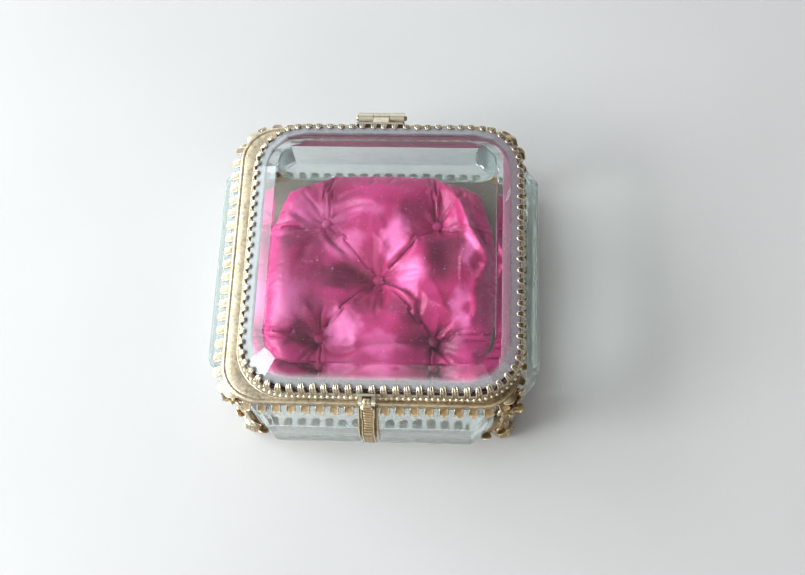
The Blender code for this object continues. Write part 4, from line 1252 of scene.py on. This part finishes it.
def rest_mesh():
    """Crowned cushion with a dimple at each button, as the cloth solver starts."""
    points = []
    for j in range(CELLS + 1):
        for i in range(CELLS + 1):
            across, along = 2 * i / CELLS - 1, 2 * j / CELLS - 1
            x, y = cushion_xy(across, along)
            z = SEAM_Z + CROWN * ((1 - abs(0.995 * across) ** 3) ** 0.55
                                  * (1 - abs(0.995 * along) ** 3) ** 0.55)
            for _, tuft_x, tuft_y in TUFTS:
                square = (x - tuft_x) ** 2 + (y - tuft_y) ** 2
                z -= 3.6 * math.exp(-square / (2 * 3.4 ** 2))
            points.append((x, y, z))
    draft = pillow(points, CELLS, pleated=False)
    bmesh.ops.recalc_face_normals(draft, faces=draft.faces[:])
    mesh = bpy.data.meshes.new("cushion_satin")
    draft.to_mesh(mesh)
    draft.free()
    return mesh


def read_points(mesh):
    flat = np.zeros(len(mesh.vertices) * 3)
    mesh.vertices.foreach_get("co", flat)
    return flat.reshape(-1, 3)


def puff(mesh, rest):
    """Blow the satin up between the buttons with Blender's cloth solver."""
    scale = 0.02
    max_move = 3.2
    mesh.vertices.foreach_set("co", (rest * scale).ravel())
    thing = bpy.data.objects.new("cushion_sim", mesh)
    SCENE.collection.objects.link(thing)

    def held(i):
        x, y, _ = rest[i]
        return (i >= (CELLS + 1) ** 2 or i % (CELLS + 1) in (0, CELLS)
                or i // (CELLS + 1) in (0, CELLS)
                or any(math.hypot(x - tuft_x, y - tuft_y) < 1.3 for _, tuft_x, tuft_y in TUFTS))

    pin = thing.vertex_groups.new(name="pin")
    pin.add([i for i in range(len(rest)) if held(i)], 1.0, 'REPLACE')
    cloth = thing.modifiers.new("cloth", 'CLOTH')
    settings = cloth.settings
    settings.quality = 6
    settings.mass = 0.25
    settings.tension_stiffness = 12
    settings.compression_stiffness = 12
    settings.shear_stiffness = 4
    settings.bending_stiffness = 0.02
    settings.tension_damping = 4
    settings.compression_damping = 4
    settings.shear_damping = 4
    settings.air_damping = 3
    settings.vertex_group_mass = "pin"
    settings.use_pressure = True
    settings.uniform_pressure_force = 5.0
    settings.shrink_min = -0.10
    settings.effector_weights.gravity = 0.0
    cloth.collision_settings.use_collision = False
    cloth.collision_settings.use_self_collision = False
    frames = 26
    cloth.point_cache.frame_start = 1
    cloth.point_cache.frame_end = frames
    for i in range(1, frames + 1):
        SCENE.frame_set(i)
    evaluated = thing.evaluated_get(bpy.context.evaluated_depsgraph_get())
    blown = read_points(evaluated.to_mesh()) / scale
    evaluated.to_mesh_clear()
    bpy.data.objects.remove(thing, do_unlink=True)
    SCENE.frame_set(1)
    move = blown - rest
    size = np.linalg.norm(move, axis=1, keepdims=True)
    return rest + move * np.minimum(1.0, max_move / np.maximum(size, 1e-9))


def finer(grid):
    """Twice the stations along the first axis, on a cubic through the old ones."""
    wide = np.concatenate([2 * grid[:1] - grid[1:2], grid, 2 * grid[-1:] - grid[-2:-1]])
    out = np.zeros((2 * len(grid) - 1,) + grid.shape[1:])
    out[0::2] = grid
    out[1::2] = (-wide[:-3] + 9 * wide[1:-2] + 9 * wide[2:-1] - wide[3:]) / 16
    return out


def near(curve, x, y):
    """Distance to a polyline, its signed side and the position along it."""
    best = (1e9, 0.0, 0.0)
    spans = len(curve) - 1
    for k in range(spans):
        start, end = curve[k], curve[k + 1]
        run_x, run_y = end.x - start.x, end.y - start.y
        share = ((x - start.x) * run_x + (y - start.y) * run_y) / (run_x * run_x + run_y * run_y)
        share = max(0.0, min(1.0, share))
        distance = math.hypot(start.x + run_x * share - x, start.y + run_y * share - y)
        if distance < best[0]:
            side = math.copysign(1.0, run_x * (y - start.y) - run_y * (x - start.x))
            best = (distance, side, (k + share) / spans)
    return best


def sculpt(points):
    """Lay the folds over the blown-up shape, fading out at their ends."""
    lines = []
    for *form, knots in FOLDS:
        curve = spline([(x, y, 0) for x, y in knots], 6)
        xs, ys = [p.x for p in curve], [p.y for p in curve]
        lines.append((curve, form, (min(xs) - 4, max(xs) + 4, min(ys) - 4, max(ys) + 4)))
    for point in points:
        x, y, z = point
        rise = 0.0
        for curve, (height, width, ridge, ridge_side), (left, right, front, back) in lines:
            if not (left < x < right and front < y < back):
                continue
            distance, side, share = near(curve, x, y)
            amount = min(1.0, 0.25 + 4.0 * share) * min(1.0, 4.0 * (1 - share) + 0.02)
            rise += height * amount * math.exp(-(distance / width) ** 2 / 1.4)
            if ridge:
                off = distance - 1.5 * width if side == ridge_side else 9.0
                rise += ridge * amount * math.exp(-(off / (1.1 * width)) ** 2)
        # gathers round the buttons
        for _, tuft_x, tuft_y in TUFTS:
            radius = math.hypot(x - tuft_x, y - tuft_y)
            angle = math.atan2(y - tuft_y, x - tuft_x)
            if radius < 9:
                rise += (0.32 * math.cos(7 * angle + tuft_x)
                         * math.exp(-((radius - 3.6) / 2.4) ** 2))
                rise += (0.18 * math.cos(13 * angle + tuft_y)
                         * math.exp(-((radius - 2.6) / 1.4) ** 2))
        inside = max(0.0, min(CUSHION_X - abs(x), CUSHION_Y - abs(y)))
        point[2] = z + rise * min(1.0, 0.25 * inside)


def cushion():
    """Satin cushion; returns the points of its top."""
    mesh = rest_mesh()
    shape = read_points(mesh)
    shape = puff(mesh, shape)
    grid = shape[:(CELLS + 1) ** 2].reshape(CELLS + 1, CELLS + 1, 3)
    grid = finer(finer(grid).transpose(1, 0, 2)).transpose(1, 0, 2)
    top = grid.reshape(-1, 3).copy()
    sculpt(top)
    top[:, 2] = np.minimum(top[:, 2], TOP_LIMIT)
    piece("cushion_satin", pillow(top, 2 * CELLS, pleated=True), SATIN,
          replaces=["cushion"], sharp=60.0, weld=False)
    return top


def seam():
    """Piping round the cushion."""
    points = []
    steps = 160
    for k in range(steps + 1):
        turn = k / steps * 4
        along = 2 * (turn - int(turn)) - 1
        square = ((along, -1), (1, along), (-along, 1), (-1, -along))[int(turn) % 4]
        x, y = cushion_xy(*square)
        points.append((x * 0.985, y * 0.985, SEAM_Z - 0.4 + 0.12 * math.sin(k * 1.9)))
    draft = bmesh.new()
    tube(draft, points, 0.55, 10, UP)
    piece("cushion_seam", draft, SATIN, sharp=60.0)


def button(label, x, y, z):
    """Covered button, domed and gathered in pleats round its edge."""
    draft = bmesh.new()
    seg, rings, pleats = 40, 12, 11
    loops = []
    for i in range(rings):
        share = i / (rings - 1)
        angle = share * math.pi * 0.5
        radius = 1.55 * math.cos(angle * 0.97) if i else 1.25
        height = 1.05 * math.sin(angle) + 0.15 if i else -0.35
        loop = []
        for k in range(seg):
            turn = math.tau * k / seg
            reach = radius * (1 + 0.035 * math.cos(pleats * turn) * (1 - share))
            loop.append(draft.verts.new((x + reach * math.cos(turn), y + reach * math.sin(turn),
                                         z + height)))
        loops.append(loop)
    skin(draft, loops)
    piece("button_" + label, draft, SATIN, replaces=["tuft_button_" + label],
          sharp=60.0)


cushion_top = cushion()
seam()
for label, x, y in TUFTS:
    close = np.hypot(cushion_top[:, 0] - x, cushion_top[:, 1] - y) < 1.4
    button(label, x, y, float(cushion_top[close][:, 2].mean()))


# ---------------------------------------------------------------- stage, metres
def stage_floor():
    draft = bmesh.new()
    bmesh.ops.create_grid(draft, x_segments=2, y_segments=2, size=3.0)
    mesh = bpy.data.meshes.new("stage_floor")
    draft.to_mesh(mesh)
    draft.free()
    mesh.materials.append(pale_floor("stage_floor"))
    floor = bpy.data.objects.new("stage_floor", mesh)
    SCENE.collection.objects.link(floor)


def area(name, place, size, energy, color):
    """Rectangular light aimed at the casket."""
    light = bpy.data.lights.new(name, 'AREA')
    light.shape = 'RECTANGLE'
    light.size, light.size_y = size
    light.energy = energy
    light.color = color
    thing = bpy.data.objects.new(name, light)
    thing.location = place
    aim = Vector((0, 0, 0.03)) - Vector(place)
    thing.rotation_euler = aim.to_track_quat('-Z', 'Y').to_euler()
    SCENE.collection.objects.link(thing)


def studio_world():
    """Grey surroundings, bright on the left and dark on the right."""
    world = bpy.data.worlds.new("studio")
    SCENE.world = world
    world.use_nodes = True
    graph = Graph(world.node_tree, "OutputWorld")
    across = graph.add("SeparateXYZ", {0: graph.tex_coord("Generated")}).outputs[0]
    colour = graph.ramp(graph.unit(across), [
        (0.0, (1.7, 1.85, 2.0)), (0.30, (0.85, 0.90, 0.94)),
        (0.55, (0.40, 0.41, 0.42)), (0.85, (0.10, 0.09, 0.08))])
    graph.finish(graph.add("Background", {"Color": colour, "Strength": 0.60}))


def camera():
    """Looks down at the casket from the front, a little from the right."""
    tilt, heading, roll = 0.3545110, -0.1648511, -0.1367063   # radians
    place = Vector((23.8813, -104.5142, 307.4547)) * MM
    forward = Vector((math.sin(tilt) * math.sin(heading), math.sin(tilt) * math.cos(heading),
                      -math.cos(tilt)))
    level_up = Vector((math.cos(tilt) * math.sin(heading), math.cos(tilt) * math.cos(heading),
                       math.sin(tilt)))
    level_right = forward.cross(level_up)
    right = math.cos(roll) * level_right + math.sin(roll) * level_up
    upward = -math.sin(roll) * level_right + math.cos(roll) * level_up
    lens = bpy.data.cameras.new("camera")
    lens.sensor_width = 36.0
    lens.lens = 49.1925466
    lens.clip_start = 0.01
    thing = bpy.data.objects.new("camera", lens)
    thing.matrix_world = Matrix([*zip(right, upward, -forward, place), (0, 0, 0, 1)])
    SCENE.collection.objects.link(thing)
    SCENE.camera = thing


stage_floor()
area("window_left", (-0.70, 0.06, 0.46), size=(0.85, 0.5), energy=9.0, color=(0.88, 0.95, 1.0))
area("window_pane", (-0.60, -0.225, 0.50), size=(0.32, 0.32), energy=4.5,
     color=(0.94, 0.98, 1.0))
area("soft_front", (0.15, -0.85, 0.75), size=(1.7, 0.5), energy=3.6, color=(1.0, 0.97, 0.94))
area("soft_back", (-0.15, 0.95, 0.45), size=(1.1, 0.4), energy=2.2, color=(0.92, 0.96, 1.0))
studio_world()
SCENE.view_settings.view_transform = "Standard"
camera()
